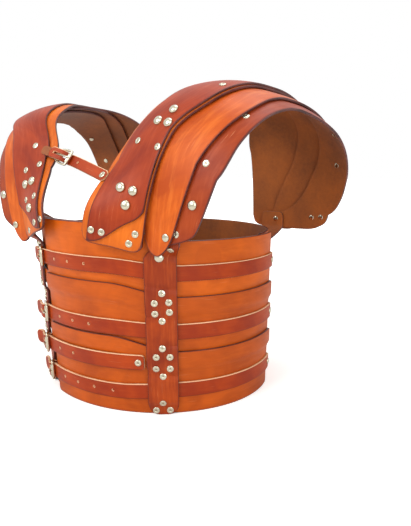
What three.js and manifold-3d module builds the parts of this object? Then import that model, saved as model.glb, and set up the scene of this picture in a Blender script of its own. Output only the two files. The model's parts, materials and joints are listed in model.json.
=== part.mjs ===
// Leather chest armour: a girdle of overlapping lames that wraps the torso, two
// shoulder guards of three lames each, and a buckled strap across the chest.
// Millimetres. The front faces -Y, the wearer's left is +X, +Z is up, and the
// origin is under the middle of the girdle, on the plane of its lower edge.
import * as THREE from 'three';
import { mergeVertices } from 'three/addons/utils/BufferGeometryUtils.js';
import Module from 'manifold-3d';

const wasm = await Module();
wasm.setup();

// Driving dimensions of the girdle
const girdleHeight = 235;
const girdleTopHalfWidth = 195;
const girdleTopHalfDepth = 160;
const girdleFootHalfWidth = 187;
const girdleFootHalfDepth = 154;
const lameThickness = 3.2;
const lameGap = 0.4;
const lameOverlap = 20;
const lameRamp = 10;
const middleTopShare = 0.69;
const lowerTopShare = 0.375;
const topRise = 22;
const middleRise = 18;
const lowerRise = 20;

// Driving dimensions of the straps
const strapWidth = 21;
const strapThickness = 2.6;
const uprightWidth = 40;
const uprightThickness = 3;
const holeRadius = 2;
const holeSpacing = 30;
const firstStrapShare = 0.8234;
const secondStrapShare = 0.4915;
const thirdStrapShare = 0.317;
const fourthStrapShare = 0.1468;
const firstStrapRise = 9;
const secondStrapRise = 5;
const fourthStrapDrop = 4;

// Driving dimensions of the shoulder guards. Their lames turn about a level
// line, the pivot line, that runs from front to back over each side.
const pivotOffset = 142;
const pivotAbove = 8;
const guardFront = 148;
const guardBack = 160;
const guardCrown = 204;
const crownBack = 21;
const archPower = 2.5;
const guardThickness = 3.2;
const guardGap = 1;
const overlayThickness = 2.6;
const overlayGap = 0.4;
const flareStart = 31;
const flareSoft = 12;
const pivotRadius = 2.4;
const pivotClearance = 0.4;
const pivotHeadRadius = 5;
const pivotHeadHeight = 1.8;

// Driving dimensions of the buckles
const wireRadius = 1.6;
const buckleLength = 21;
const buckleSpare = 2.6;
const rollerWall = 0.9;
const runningGap = 0.5;
const eyeGap = 0.75;
const tongueWidth = 2.6;
const tongueDepth = 2.2;
const chapeThickness = 1.8;
const foldGap = 0.8;
const chapeWidth = 13;
const chapeLength = 30;
const seatGap = 0.3;

// Driving dimensions of the chest strap
const chestStrapWidth = 16;
const chestTail = 12;
const chestChape = 27;
const chestStart = 55;
const chestStartAbove = 70;
const chestBuckle = 37;
const chestSlope = 0.25;
const chestMargin = 27;
const chestLead = 5;
const chestLeftEdge = 46;
const chestRightEdge = 55;

// Angles round the girdle, in degrees from the middle of the front, positive
// towards the wearer's left. The outer panel lies over the inner one at both ends.
const outerPanelFrom = -22;
const outerPanelTo = 104;
const innerPanelFrom = 92;
const innerPanelTo = 366;
const uprightAngle = 37.5;
const rearUprightAngle = 142.5;
const riseFrom = 46;
const riseTo = 14;
const riseLeave = -50;
const riseEnd = -85;
const rollerAngle = -23;
const strapBackEnd = 110;
const thirdStrapEnd = 30;

const bowPower = 3;
const slotShare = 0.87;
const strapTail = 26;
const longStep = 10;
const shortStep = 4;
const coverMargin = 6;
const uprightGap = 0.8;
const uprightStep = 7;
const tabGap = 0.9;
const tabInset = 7;
const tabAbove = 12;
const tabFlat = 10;
const tabRunFront = 22;
const tabRunBack = 45;
const flareSlopeShare = 0.54;
const flareFadeFromShare = 0.12;
const flareFadeToShare = 0.6;
const rowPower = 1.3;
const endRoundShare = 0.75;

// Counts of facets
const outerSteps = 20;
const innerSteps = 32;
const archSteps = 24;
const endRows = 4;
const chestSteps = 40;
const ringSides = 6;
const roundSides = 12;

const pivotHeight = girdleHeight + pivotAbove;

const degree = Math.PI / 180;
const fullTurn = 2 * Math.PI;

// Colours of the hides and the metal
const hide = {
  orange: new THREE.MeshStandardMaterial({ color: 0xca651f, roughness: 0.48, metalness: 0 }),
  russet: new THREE.MeshStandardMaterial({ color: 0xa8491f, roughness: 0.5, metalness: 0 }),
  nickel: new THREE.MeshStandardMaterial({ color: 0xd9d5c6, roughness: 0.22, metalness: 1 }),
};

const group = new THREE.Group();

function addMesh(name, geometry, material) {
  const mesh = new THREE.Mesh(geometry, material.clone());
  mesh.name = name;
  group.add(mesh);
  return mesh;
}

// Geometry helpers

function smooth(from, to, value) {
  const share = Math.min(1, Math.max(0, (value - from) / (to - from)));
  return share * share * (3 - 2 * share);
}

function mix(from, to, share) {
  return from + (to - from) * share;
}

// A smooth value through evenly spaced control values.
function through(values, share) {
  const last = values.length - 1;
  const place = Math.min(1, Math.max(0, share)) * last;
  const index = Math.min(last - 1, Math.floor(place));
  const before = values[Math.max(0, index - 1)];
  const after = values[Math.min(last, index + 2)];
  const local = place - index;
  return THREE.MathUtils.clamp(
    catmull(before, values[index], values[index + 1], after, local),
    Math.min(...values),
    Math.max(...values),
  );
}

function catmull(before, start, end, after, share) {
  const leaving = (end - before) / 2;
  const arriving = (after - start) / 2;
  const squared = share * share;
  const cubed = squared * share;
  return (2 * start - 2 * end + leaving + arriving) * cubed
    + (3 * end - 3 * start - 2 * leaving - arriving) * squared
    + leaving * share
    + start;
}

function signedVolume(points, faces) {
  let sum = 0;
  for (const [a, b, c] of faces) {
    sum += points[a].dot(points[b].clone().cross(points[c])) / 6;
  }
  return sum;
}

// A geometry from shared points and triangles, with its faces turned outwards.
function solid(points, faces) {
  const inward = signedVolume(points, faces) < 0;
  const index = faces.flatMap(([a, b, c]) => (inward ? [a, c, b] : [a, b, c]));
  const geometry = new THREE.BufferGeometry();
  geometry.setAttribute('position', new THREE.Float32BufferAttribute(points.flatMap((p) => [p.x, p.y, p.z]), 3));
  geometry.setIndex(index);
  return geometry;
}

// A closed sheet between two grids of points, such as the two sides of a hide.
function sheet(outer, inner) {
  const rows = outer.length;
  const columns = outer[0].length;
  const points = [...outer.flat(), ...inner.flat()];
  const at = (side, row, column) => side * rows * columns + row * columns + column;
  const faces = [];
  const quad = (a, b, c, d) => faces.push([a, b, c], [a, c, d]);
  for (let row = 0; row < rows - 1; row += 1) {
    for (let column = 0; column < columns - 1; column += 1) {
      quad(at(0, row, column), at(0, row + 1, column), at(0, row + 1, column + 1), at(0, row, column + 1));
      quad(at(1, row, column), at(1, row, column + 1), at(1, row + 1, column + 1), at(1, row + 1, column));
    }
    quad(at(1, row, 0), at(1, row + 1, 0), at(0, row + 1, 0), at(0, row, 0));
    quad(at(0, row, columns - 1), at(0, row + 1, columns - 1), at(1, row + 1, columns - 1), at(1, row, columns - 1));
  }
  for (let column = 0; column < columns - 1; column += 1) {
    quad(at(0, 0, column), at(0, 0, column + 1), at(1, 0, column + 1), at(1, 0, column));
    const end = rows - 1;
    quad(at(0, end, column + 1), at(0, end, column), at(1, end, column), at(1, end, column + 1));
  }
  return solid(points, faces);
}

// A ring of sections, each a loop of points, closed on itself.
function ringOfSections(sections) {
  const count = sections.length;
  const sides = sections[0].length;
  const faces = [];
  for (let i = 0; i < count; i += 1) {
    for (let j = 0; j < sides; j += 1) {
      const a = i * sides + j;
      const b = ((i + 1) % count) * sides + j;
      const c = ((i + 1) % count) * sides + ((j + 1) % sides);
      const d = i * sides + ((j + 1) % sides);
      faces.push([a, b, c], [a, c, d]);
    }
  }
  return solid(sections.flat(), faces);
}

function toManifold(geometry) {
  const plain = geometry.clone();
  plain.deleteAttribute('normal');
  plain.deleteAttribute('uv');
  const merged = mergeVertices(plain);
  return new wasm.Manifold(new wasm.Mesh({
    numProp: 3,
    vertProperties: new Float32Array(merged.attributes.position.array),
    triVerts: new Uint32Array(merged.index.array),
  }));
}

function fromManifold(body) {
  const mesh = body.getMesh();
  const geometry = new THREE.BufferGeometry();
  geometry.setAttribute('position', new THREE.BufferAttribute(new Float32Array(mesh.vertProperties), 3));
  geometry.setIndex([...mesh.triVerts]);
  return geometry;
}

function cut(geometry, cutters) {
  return fromManifold(cutters.reduce((body, cutter) => body.subtract(toManifold(cutter)), toManifold(geometry)));
}

// A cutter or rod: a cylinder between two points.
function rod(from, to, radius, sides = roundSides) {
  const along = to.clone().sub(from);
  const geometry = new THREE.CylinderGeometry(radius, radius, along.length(), sides);
  const turn = new THREE.Quaternion().setFromUnitVectors(new THREE.Vector3(0, 1, 0), along.normalize());
  geometry.applyQuaternion(turn);
  const middle = from.clone().add(to).multiplyScalar(0.5);
  geometry.translate(middle.x, middle.y, middle.z);
  return geometry;
}

// Girdle surface

function girdlePoint(angle, height, offset) {
  const share = height / girdleHeight;
  const halfWidth = mix(girdleFootHalfWidth, girdleTopHalfWidth, share);
  const halfDepth = mix(girdleFootHalfDepth, girdleTopHalfDepth, share);
  const sine = Math.sin(angle * degree);
  const cosine = Math.cos(angle * degree);
  const normal = new THREE.Vector2(sine / halfWidth, -cosine / halfDepth).normalize();
  return new THREE.Vector3(
    halfWidth * sine + normal.x * offset,
    -halfDepth * cosine + normal.y * offset,
    height,
  );
}

// How far the girdle's edges are raised at an angle: fully in front and on the
// wearer's right, not at all on the left and at the back.
function riseShare(angle) {
  const turned = angle > 180 ? angle - 360 : angle;
  return turned > 0 ? smooth(riseFrom, riseTo, turned) : smooth(riseEnd, riseLeave, turned);
}

const layerStep = lameThickness + lameGap;
const lameTops = [
  (angle) => girdleHeight + topRise * riseShare(angle),
  (angle) => girdleHeight * middleTopShare + middleRise * riseShare(angle),
  (angle) => girdleHeight * lowerTopShare + lowerRise * riseShare(angle),
];

// Outer face of a lame over the panel's own surface: it steps out where it laps
// over the lame above.
function lapOffset(lame, angle, height) {
  if (lame === 0) {
    return 0;
  }
  const top = lameTops[lame](angle);
  return layerStep * smooth(top - lameOverlap - lameRamp, top - lameOverlap, height);
}

function lameHeights(lame, angle) {
  const top = lameTops[lame](angle);
  const foot = lame === 2 ? 0 : lameTops[lame + 1](angle) - lameOverlap + lameGap;
  if (lame === 0) {
    return [top, mix(top, foot, 0.5), foot];
  }
  const lap = top - lameOverlap;
  const ramp = lap - lameRamp;
  return [top, lap, mix(lap, ramp, 0.5), ramp, foot];
}

function girdleLame(lame, from, to, steps, panelOffset) {
  const grids = [0, -lameThickness].map((depth) => {
    const grid = [];
    for (let step = 0; step <= steps; step += 1) {
      const angle = mix(from, to, step / steps);
      grid.push(lameHeights(lame, angle).map(
        (height) => girdlePoint(angle, height, panelOffset + lapOffset(lame, angle, height) + depth),
      ));
    }
    return grid;
  });
  return sheet(grids[0], grids[1]);
}

// The outer panel's own surface is the reference. The inner panel lies under it,
// far enough in for its laps to pass under the outer panel.
const innerPanelOffset = -2 * layerStep;
for (let lame = 0; lame < 3; lame += 1) {
  addMesh(
    `girdle_outer_lame_${lame + 1}`,
    girdleLame(lame, outerPanelFrom, outerPanelTo, outerSteps, 0),
    hide.orange,
  );
  addMesh(
    `girdle_inner_lame_${lame + 1}`,
    girdleLame(lame, innerPanelFrom, innerPanelTo, innerSteps, innerPanelOffset),
    hide.orange,
  );
}

// Buckles. A buckle is described in its own frame: `along` runs from the roller
// to the heel, `out` away from the wearer and `across` along the roller.

const rollerRadius = wireRadius + runningGap + rollerWall;
const loopRadius = wireRadius + runningGap;

function buckleHalfHeight(width) {
  return width / 2 + buckleSpare;
}

// How far along the bow is at a share of its half height.
function bowReach(share) {
  return buckleLength * (1 - share ** bowPower) ** (1 / bowPower);
}

// The wire of the D: a straight bar for the roller and a bow to the heel.
function buckleFrame(width) {
  const half = buckleHalfHeight(width);
  const path = [];
  const bowSteps = 12;
  for (let step = 0; step <= bowSteps; step += 1) {
    const turn = mix(-90, 90, step / bowSteps) * degree;
    const share = Math.abs(Math.sin(turn)) ** (2 / bowPower);
    path.push(new THREE.Vector2(bowReach(share), half * share * Math.sign(turn)));
  }
  const sections = path.map((point, index) => {
    const before = path[(index + path.length - 1) % path.length];
    const after = path[(index + 1) % path.length];
    const incoming = point.clone().sub(before).normalize();
    const outgoing = after.clone().sub(point).normalize();
    const tangent = incoming.clone().add(outgoing).normalize();
    const mitre = 1 / Math.max(0.6, tangent.dot(outgoing));
    const side = new THREE.Vector2(tangent.y, -tangent.x);
    const section = [];
    for (let corner = 0; corner < ringSides; corner += 1) {
      const turn = (corner + 0.5) / ringSides * fullTurn;
      const reach = wireRadius * Math.cos(turn) * mitre;
      section.push(new THREE.Vector3(
        point.x + side.x * reach,
        wireRadius * Math.sin(turn),
        point.y + side.y * reach,
      ));
    }
    return section;
  });
  return ringOfSections(sections);
}

function buckleRoller(width) {
  const half = width / 2 - buckleSpare / 2;
  const inner = wireRadius + runningGap;
  const profile = [
    new THREE.Vector2(inner, -half),
    new THREE.Vector2(rollerRadius, -half),
    new THREE.Vector2(rollerRadius, half),
    new THREE.Vector2(inner, half),
    new THREE.Vector2(inner, -half),
  ];
  const geometry = new THREE.LatheGeometry(profile, roundSides);
  geometry.rotateX(Math.PI / 2);
  return fromManifold(toManifold(geometry));
}

// The tongue: an eye round the heel and an arm that rests on the roller.
function buckleTongue() {
  const hole = wireRadius + eyeGap;
  const eye = hole + tongueDepth / 2;
  const rest = rollerRadius + runningGap;
  const shape = new THREE.Shape();
  const armAngle = Math.atan2(rest + tongueDepth / 2, buckleLength);
  shape.moveTo(buckleLength + eye * Math.sin(armAngle), eye * Math.cos(armAngle));
  shape.absarc(buckleLength, 0, eye, Math.PI / 2 - armAngle, -Math.PI / 2 - armAngle, true);
  shape.lineTo(0, rest);
  shape.lineTo(-rollerRadius, rest);
  shape.lineTo(-rollerRadius - tongueDepth / 2, rest + tongueDepth / 2);
  shape.lineTo(-rollerRadius / 2, rest + tongueDepth);
  const eyelet = new THREE.Path();
  eyelet.absarc(buckleLength, 0, hole, 0, fullTurn, false);
  shape.holes.push(eyelet);
  const geometry = new THREE.ExtrudeGeometry(shape, { depth: tongueWidth, bevelEnabled: false, curveSegments: 5 });
  geometry.translate(0, 0, -tongueWidth / 2);
  return fromManifold(toManifold(geometry));
}

// The chape: a hide folded round the heel, with a slot for the tongue's eye. It
// is drawn in its route's own coordinates, `along` and `out`, round the heel.
function chapeOutline(heelAlong, heelOut, shift, length) {
  const foldRadius = wireRadius + foldGap;
  const outerRadius = foldRadius + chapeThickness;
  const meet = Math.sqrt(outerRadius ** 2 - chapeThickness ** 2);
  const end = heelAlong + length;
  const legSteps = 3;
  const shape = new THREE.Shape();
  shape.moveTo(end, heelOut - chapeThickness);
  shape.lineTo(end, heelOut + chapeThickness);
  for (let step = 1; step <= legSteps; step += 1) {
    shape.lineTo(mix(end, heelAlong + meet, step / legSteps), heelOut + chapeThickness);
  }
  const meetAngle = Math.atan2(chapeThickness, meet);
  shape.absarc(heelAlong, heelOut, outerRadius, meetAngle, Math.PI / 2, false);
  shape.absarc(heelAlong - shift.x, heelOut + shift.y, outerRadius, Math.PI / 2, 3 * Math.PI / 2, false);
  shape.absarc(heelAlong, heelOut, outerRadius, -Math.PI / 2, -meetAngle, false);
  for (let step = 1; step < legSteps; step += 1) {
    shape.lineTo(mix(heelAlong + meet, end, step / legSteps), heelOut - chapeThickness);
  }
  const hole = new THREE.Path();
  hole.absarc(heelAlong, heelOut, foldRadius, -Math.PI / 2, Math.PI / 2, false);
  hole.absarc(heelAlong - shift.x, heelOut + shift.y, foldRadius, Math.PI / 2, 3 * Math.PI / 2, false);
  shape.holes.push(hole);
  return shape;
}

// A route is a run of strap: place(along, out, across) gives a point in space,
// with the roller at along 0. strapBase and heelBase are how far out the strap
// and the chape lie there.
function addBuckle(name, route, width) {
  const rollerOut = route.strapBase + strapThickness + runningGap + rollerRadius;
  const heelOut = route.heelBase + seatGap + chapeThickness;
  const heelAlong = Math.sqrt(buckleLength ** 2 - (rollerOut - heelOut) ** 2);
  const roller = route.place(0, rollerOut, 0);
  const heel = route.place(heelAlong, heelOut, 0);
  const across = route.place(0, rollerOut, 1).sub(roller).normalize();
  const along = heel.clone().sub(roller).normalize();
  const out = across.clone().cross(along).normalize();
  const pose = new THREE.Matrix4().makeBasis(along, out, across).setPosition(roller);
  const pieces = [
    ['frame', buckleFrame(width)],
    ['roller', buckleRoller(width)],
    ['tongue', buckleTongue()],
  ];
  for (const [part, geometry] of pieces) {
    geometry.applyMatrix4(pose);
    const mesh = addMesh(`${name}_${part}`, geometry, hide.nickel);
    mesh.userData.pivot = part === 'tongue' ? heel : roller;
    mesh.userData.axis = across;
  }
  const half = buckleHalfHeight(width);
  const sagitta = buckleLength - bowReach(chapeWidth / 2 / half);
  const shift = new THREE.Vector2(heelAlong, rollerOut - heelOut).multiplyScalar(sagitta / buckleLength);
  const chape = new THREE.ExtrudeGeometry(chapeOutline(heelAlong, heelOut, shift, route.chape), {
    depth: chapeWidth,
    bevelEnabled: false,
    curveSegments: 3,
  });
  const spots = chape.attributes.position;
  for (let i = 0; i < spots.count; i += 1) {
    const spot = route.place(spots.getX(i), spots.getY(i), spots.getZ(i) - chapeWidth / 2);
    spots.setXYZ(i, spot.x, spot.y, spot.z);
  }
  const slotReach = loopRadius + chapeThickness + buckleSpare;
  const slot = new THREE.BoxGeometry(2 * slotReach + sagitta, 2 * slotReach, tongueWidth + 2 * runningGap);
  slot.translate(buckleLength - sagitta / 2, 0, 0);
  slot.applyMatrix4(pose);
  addMesh(`${name}_chape`, cut(chape, [slot]), hide.russet);
  const bowMeet = bowReach((width / 2 + wireRadius + runningGap) / half) * heelAlong / buckleLength;
  return { pose, heelAlong, heelOut, rollerOut, bowMeet };
}

// Inner face of the strap along its route: flat up to the roller, then out over
// the bow and the heel, and down again onto the chape.
function threadedOut(route, buckle, along) {
  const { heelAlong, heelOut, rollerOut, bowMeet } = buckle;
  const overBow = mix(rollerOut, heelOut, bowMeet / heelAlong) + wireRadius + 2 * runningGap;
  const overHeel = heelOut + wireRadius + foldGap + chapeThickness + runningGap;
  const onChape = heelOut + chapeThickness + runningGap;
  const heelPast = heelAlong + loopRadius;
  const rising = mix(route.strapBase, overBow, smooth(rollerRadius / 2, bowMeet, along));
  const bowed = mix(rising, overHeel, smooth(bowMeet, heelAlong, along));
  return mix(bowed, onChape, smooth(heelPast, heelPast + 3 * rollerRadius, along));
}

// The slot that lets the tongue through the strap.
function tongueSlot(buckle) {
  const length = buckleLength * slotShare;
  const box = new THREE.BoxGeometry(length, buckleLength, tongueWidth + 2 * runningGap);
  box.translate(buckleLength + loopRadius - length / 2, 0, 0);
  box.applyMatrix4(buckle.pose);
  return box;
}

// Girdle straps. Each runs round the outer panel, over its end at the back, and
// through a buckle at its front end.

const strapRows = [
  { name: 'first', heightShare: firstStrapShare, rise: firstStrapRise, lift: 0, to: strapBackEnd, holes: 3 },
  { name: 'second', heightShare: secondStrapShare, rise: secondStrapRise, lift: 0, to: strapBackEnd, holes: 3 },
  { name: 'third', heightShare: thirdStrapShare, rise: 0, lift: layerStep, to: thirdStrapEnd, holes: 2 },
  { name: 'fourth', heightShare: fourthStrapShare, rise: -fourthStrapDrop, lift: 0, to: strapBackEnd, holes: 4 },
];

function arcPerDegree(angle, height) {
  return girdlePoint(angle + 0.5, height, 0).distanceTo(girdlePoint(angle - 0.5, height, 0));
}

function uprightCover(lame, angle, height) {
  const top = lameTops[lame](angle);
  const climb = smooth(top - lameOverlap - lameRamp - coverMargin, top - lameOverlap - coverMargin, height);
  const fall = 1 - smooth(top + coverMargin / 2, top + coverMargin / 2 + lameRamp, height);
  return layerStep * Math.min(climb, fall);
}

function strapHeight(row, angle) {
  return girdleHeight * row.heightShare + row.rise * riseShare(angle);
}

function strapCover(row, angle, height) {
  const middle = strapHeight(row, angle);
  const away = Math.abs(height - middle) - strapWidth / 2;
  return (strapThickness + lameGap) * (1 - smooth(coverMargin / 2, coverMargin / 2 + lameRamp, away));
}

// Inner face of an upright strap over its panel.
function uprightBase(angle, height, onOuterPanel) {
  const laps = Math.max(uprightCover(1, angle, height), uprightCover(2, angle, height));
  if (!onOuterPanel) {
    return innerPanelOffset + laps + uprightGap;
  }
  const straps = strapRows.filter((row) => row.lift === 0).map((row) => strapCover(row, angle, height));
  return Math.max(laps, ...straps) + uprightGap;
}

for (const row of strapRows) {
  const rate = arcPerDegree(rollerAngle, strapHeight(row, rollerAngle));
  const height = (angle) => strapHeight(row, angle);
  const backOf = (along) => rollerAngle - along / rate;
  const chapeSpots = [0, 0.25, 0.5, 0.75, 1].flatMap((share) => {
    const angle = backOf(buckleLength + share * chapeLength);
    return [-0.5, 0, 0.5].map((side) => uprightBase(angle, height(angle) + side * chapeWidth, false));
  });
  const route = {
    place: (along, out, across) => {
      const angle = backOf(along);
      return girdlePoint(angle, height(angle) + across, out);
    },
    chape: chapeLength,
    strapBase: row.lift + lameGap,
    heelBase: uprightThickness + Math.max(...chapeSpots),
  };
  const buckle = addBuckle(`buckle_${row.name}`, route, strapWidth);
  const base = (along) => {
    const angle = backOf(along);
    const stepDown = smooth(outerPanelTo + 0.4, outerPanelTo + 4, angle);
    const flat = mix(route.strapBase, innerPanelOffset + lameGap, stepDown);
    return along < 0 ? flat : threadedOut(route, buckle, along);
  };
  const start = (rollerAngle - row.to) * rate;
  const end = buckle.heelAlong + strapTail;
  const stations = [];
  const longSteps = Math.round(-start / longStep);
  for (let step = 0; step < longSteps; step += 1) {
    stations.push(mix(start, 0, step / longSteps));
  }
  const shortSteps = Math.round(end / shortStep);
  for (let step = 0; step <= shortSteps; step += 1) {
    stations.push(mix(0, end, step / shortSteps));
  }
  const grids = [strapThickness, 0].map((depth) => stations.map(
    (along) => [-strapWidth / 2, strapWidth / 2].map((across) => route.place(along, base(along) + depth, across)),
  ));
  const cutters = [tongueSlot(buckle)];
  for (let hole = 1; hole <= row.holes; hole += 1) {
    const along = -hole * holeSpacing - strapThickness;
    const inside = route.place(along, route.strapBase - strapThickness, 0);
    const outside = route.place(along, route.strapBase + 2 * strapThickness, 0);
    cutters.push(rod(inside, outside, holeRadius, 2 * ringSides));
  }
  addMesh(`girdle_strap_${row.name}`, cut(sheet(grids[0], grids[1]), cutters), hide.russet);
}

// Shoulder guards. Each lame is part of one arched surface turned about the
// pivot line; the next lame out lies one layer deeper. A point is given by its
// run round the arch, or near the pivots by its place in the plane across the line.

const frontReach = guardFront + crownBack;
const backReach = guardBack - crownBack;
const guardStep = guardThickness + guardGap;

function archPoint(turn, depth) {
  const reach = turn < Math.PI / 2 ? -(frontReach - depth) : backReach - depth;
  const radius = (guardCrown - depth) * Math.max(0, Math.sin(turn)) ** (2 / archPower);
  return { radius, y: crownBack + reach * Math.abs(Math.cos(turn)) ** (2 / archPower) };
}

// Turns that split the arch into runs of equal length.
function archTurns(count) {
  const fine = 2000;
  const lengths = [0];
  let last = archPoint(0, 0);
  for (let i = 1; i <= fine; i += 1) {
    const next = archPoint(Math.PI * i / fine, 0);
    lengths.push(lengths[i - 1] + Math.hypot(next.radius - last.radius, next.y - last.y));
    last = next;
  }
  const turns = [];
  for (let step = 0; step <= count; step += 1) {
    const goal = lengths[fine] * step / count;
    const index = Math.max(1, lengths.findIndex((length) => length >= goal));
    turns.push(Math.PI * (index - 1 + (goal - lengths[index - 1]) / (lengths[index] - lengths[index - 1])) / fine);
  }
  return turns;
}

const turns = archTurns(archSteps);

// The base lame's front swings forward, round the chest, towards its neck edge.
function flare(across, up) {
  const reach = -across - flareStart;
  const low = 1 - smooth(guardCrown * flareFadeFromShare, guardCrown * flareFadeToShare, up);
  return flareSlopeShare * (reach + Math.hypot(reach, flareSoft)) / 2 * low;
}

function guardPlace(side, { across, up, y }, forward) {
  return new THREE.Vector3(side * (pivotOffset + across), y - forward, pivotHeight + up);
}

function planePoint(across, up, depth, front) {
  const radius = Math.hypot(across, up);
  const reach = front ? -(frontReach - depth) : backReach - depth;
  const level = 1 - (radius / (guardCrown - depth)) ** archPower;
  return { across, up, y: crownBack + reach * Math.max(0, level) ** (1 / archPower) };
}

function bend(start, via, end, share) {
  const away = 1 - share;
  return [0, 1].map((k) => away * away * start[k] + 2 * away * share * via[k] + share * share * end[k]);
}

// One end of a lame, from the ring where its arched run stops down to its low
// edge: a patch between the ring, two bent sides and the low edge.
function endPatch(lame, depth, front) {
  const end = front ? lame.front : lame.back;
  const ring = front ? lame.rings[0] : archSteps - lame.rings[1];
  const share = front ? 0 : 1;
  const { radius } = archPoint(turns[ring], depth);
  const from = through(lame.innerAngles, share);
  const to = through(lame.outerAngles, share);
  const ringSpot = (wide) => {
    const angle = mix(from, to, wide) * degree;
    return [radius * Math.sin(angle), radius * Math.cos(angle)];
  };
  const lowCurve = new THREE.CatmullRomCurve3(
    end.lowShares.map(([across, up]) => new THREE.Vector3(across * guardCrown, up * guardCrown, 0)),
    false,
    'centripetal',
  );
  const lowSpot = (wide) => lowCurve.getPointAt(wide).toArray();
  const via = end.viaShares.map((pair) => pair.map((part) => part * guardCrown));
  const rows = [];
  for (let row = 1; row <= end.stops; row += 1) {
    rows.push(lame.widths.map((wide, column) => {
      const down = row < end.stops ? (row / endRows) ** rowPower : end.downs[column];
      const left = bend(ringSpot(0), via[0], lowSpot(0), down);
      const right = bend(ringSpot(1), via[1], lowSpot(1), down);
      const [across, up] = [0, 1].map((k) => mix(ringSpot(wide)[k], lowSpot(wide)[k], down)
        + mix(left[k], right[k], wide)
        - mix(mix(ringSpot(0)[k], lowSpot(0)[k], down), mix(ringSpot(1)[k], lowSpot(1)[k], down), wide));
      return planePoint(across, up, depth, front);
    }));
  }
  return front ? rows.reverse() : rows;
}

function archRows(lame, depth) {
  const first = lame.rings[0];
  const last = archSteps - lame.rings[1];
  const rows = [];
  for (let ring = first; ring <= last; ring += 1) {
    const share = (ring - first) / (last - first);
    const { radius, y } = archPoint(turns[ring], depth);
    const from = through(lame.innerAngles, share);
    const to = through(lame.outerAngles, share);
    rows.push(lame.widths.map((wide) => {
      const angle = mix(from, to, wide) * degree;
      return { across: radius * Math.sin(angle), up: radius * Math.cos(angle), y };
    }));
  }
  return rows;
}

function guardRows(lame, depth) {
  return [...endPatch(lame, depth, true), ...archRows(lame, depth), ...endPatch(lame, depth, false)];
}

function guardLame(lame, side) {
  const forward = guardRows(lame, 0).map((row) => row.map(({ across, up, y }) => {
    const flared = lame.flared && y < crownBack;
    return flared ? flare(across, up) : 0;
  }));
  const grids = [lame.depth, lame.depth + lame.thickness].map((depth) => guardRows(lame, depth).map(
    (row, i) => row.map((spot, j) => guardPlace(side, spot, forward[i][j])),
  ));
  return sheet(grids[0], grids[1]);
}

// Edge angles run from the front ring to the back one, in degrees from upright
// and positive outwards. Low edges and bends are shares of the crown's height.
const evenWidths = [0, 0.2, 0.4, 0.6, 0.8, 1];
const toTheEnd = { stops: endRows, downs: [1, 1, 1, 1, 1, 1, 1, 1] };
const baseLame = {
  name: 'lame_1',
  hide: hide.orange,
  depth: 0,
  thickness: guardThickness,
  flared: true,
  rings: [5, 5],
  widths: [0, 0.2, 0.36, 0.52, 0.68, 0.84, 1],
  innerAngles: [-50, -25, -15.5, -7.5, -4, -7, -14.5, -25],
  outerAngles: [-1, 10.5, 14.6, 15.3, 15.8, 17.5, 24.5, 30],
  front: {
    ...toTheEnd,
    viaShares: [[-0.51, 0.32], [-0.1, 0.36]],
    lowShares: [[-0.55, 0.03], [-0.53, -0.03], [-0.36, -0.07], [-0.2, -0.1], [-0.165, -0.07]],
  },
  back: {
    ...toTheEnd,
    viaShares: [[-0.26, 0.3], [0.22, 0.3]],
    lowShares: [[-0.26, 0.02], [-0.23, -0.05], [0, -0.09], [0.13, -0.08], [0.16, -0.03]],
  },
  holes: [false, true],
};
const guardLames = [
  baseLame,
  {
    ...baseLame,
    name: 'overlay',
    hide: hide.russet,
    depth: -overlayGap - overlayThickness,
    thickness: overlayThickness,
    widths: [0.2, 0.36, 0.52, 0.68, 0.84, 0.975],
    front: { ...baseLame.front, stops: 4, downs: [0.985, 0.965, 0.91, 0.83, 0.77, 0.72] },
    back: { ...baseLame.back, stops: 4, downs: [0.82, 0.82, 0.8, 0.77, 0.74, 0.72] },
    holes: [false, false],
  },
  {
    name: 'lame_2',
    hide: hide.orange,
    depth: guardStep,
    thickness: guardThickness,
    flared: false,
    rings: [4, 4],
    widths: evenWidths,
    innerAngles: [-19, -1, 3, 5, 6, 9, 15, 19, 17],
    outerAngles: [24, 26, 27.8, 27, 26, 28, 36, 47.5, 58],
    front: {
      ...toTheEnd,
      viaShares: [[-0.17, 0.2], [0.13, 0.2]],
      lowShares: [[-0.17, -0.03], [-0.13, -0.1], [-0.08, -0.125], [-0.02, -0.09], [0.035, -0.02]],
    },
    back: {
      ...toTheEnd,
      viaShares: [[-0.02, 0.2], [0.36, 0.08]],
      lowShares: [[-0.06, 0.02], [-0.03, -0.06], [0.12, -0.08], [0.27, -0.07], [0.33, -0.02]],
    },
    holes: [true, true],
  },
  {
    name: 'lame_3',
    hide: hide.russet,
    depth: 2 * guardStep,
    thickness: guardThickness,
    flared: false,
    rings: [4, 4],
    widths: evenWidths,
    innerAngles: [-4, 6.5, 9.5, 11, 11.5, 17, 27, 36, 42],
    outerAngles: [43, 36.8, 34.3, 33.4, 33, 40, 49, 64.5, 84],
    front: {
      ...toTheEnd,
      viaShares: [[-0.06, 0.2], [0.28, 0.2]],
      lowShares: [[-0.07, 0.02], [-0.04, -0.05], [0.07, -0.035], [0.18, 0.01], [0.225, 0.08]],
    },
    back: {
      ...toTheEnd,
      viaShares: [[0.2, 0.06], [0.46, -0.02]],
      lowShares: [[-0.06, 0.04], [-0.04, -0.05], [0.15, -0.075], [0.34, -0.07], [0.41, -0.04]],
    },
    holes: [true, true],
  },
];

const deepest = 2 * guardStep + guardThickness;
const tabFront = -guardFront + deepest + tabGap;
const tabBack = guardBack - deepest - tabGap;

function pivotPoint(side, front) {
  return new THREE.Vector3(side * pivotOffset, front ? -guardFront : guardBack, pivotHeight);
}

function pivotHole(side, front) {
  const outside = pivotPoint(side, front);
  const inside = outside.clone();
  outside.y += front ? -deepest : deepest;
  inside.y += front ? 2 * deepest : -2 * deepest;
  return rod(outside, inside, pivotRadius + pivotClearance);
}

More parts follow.
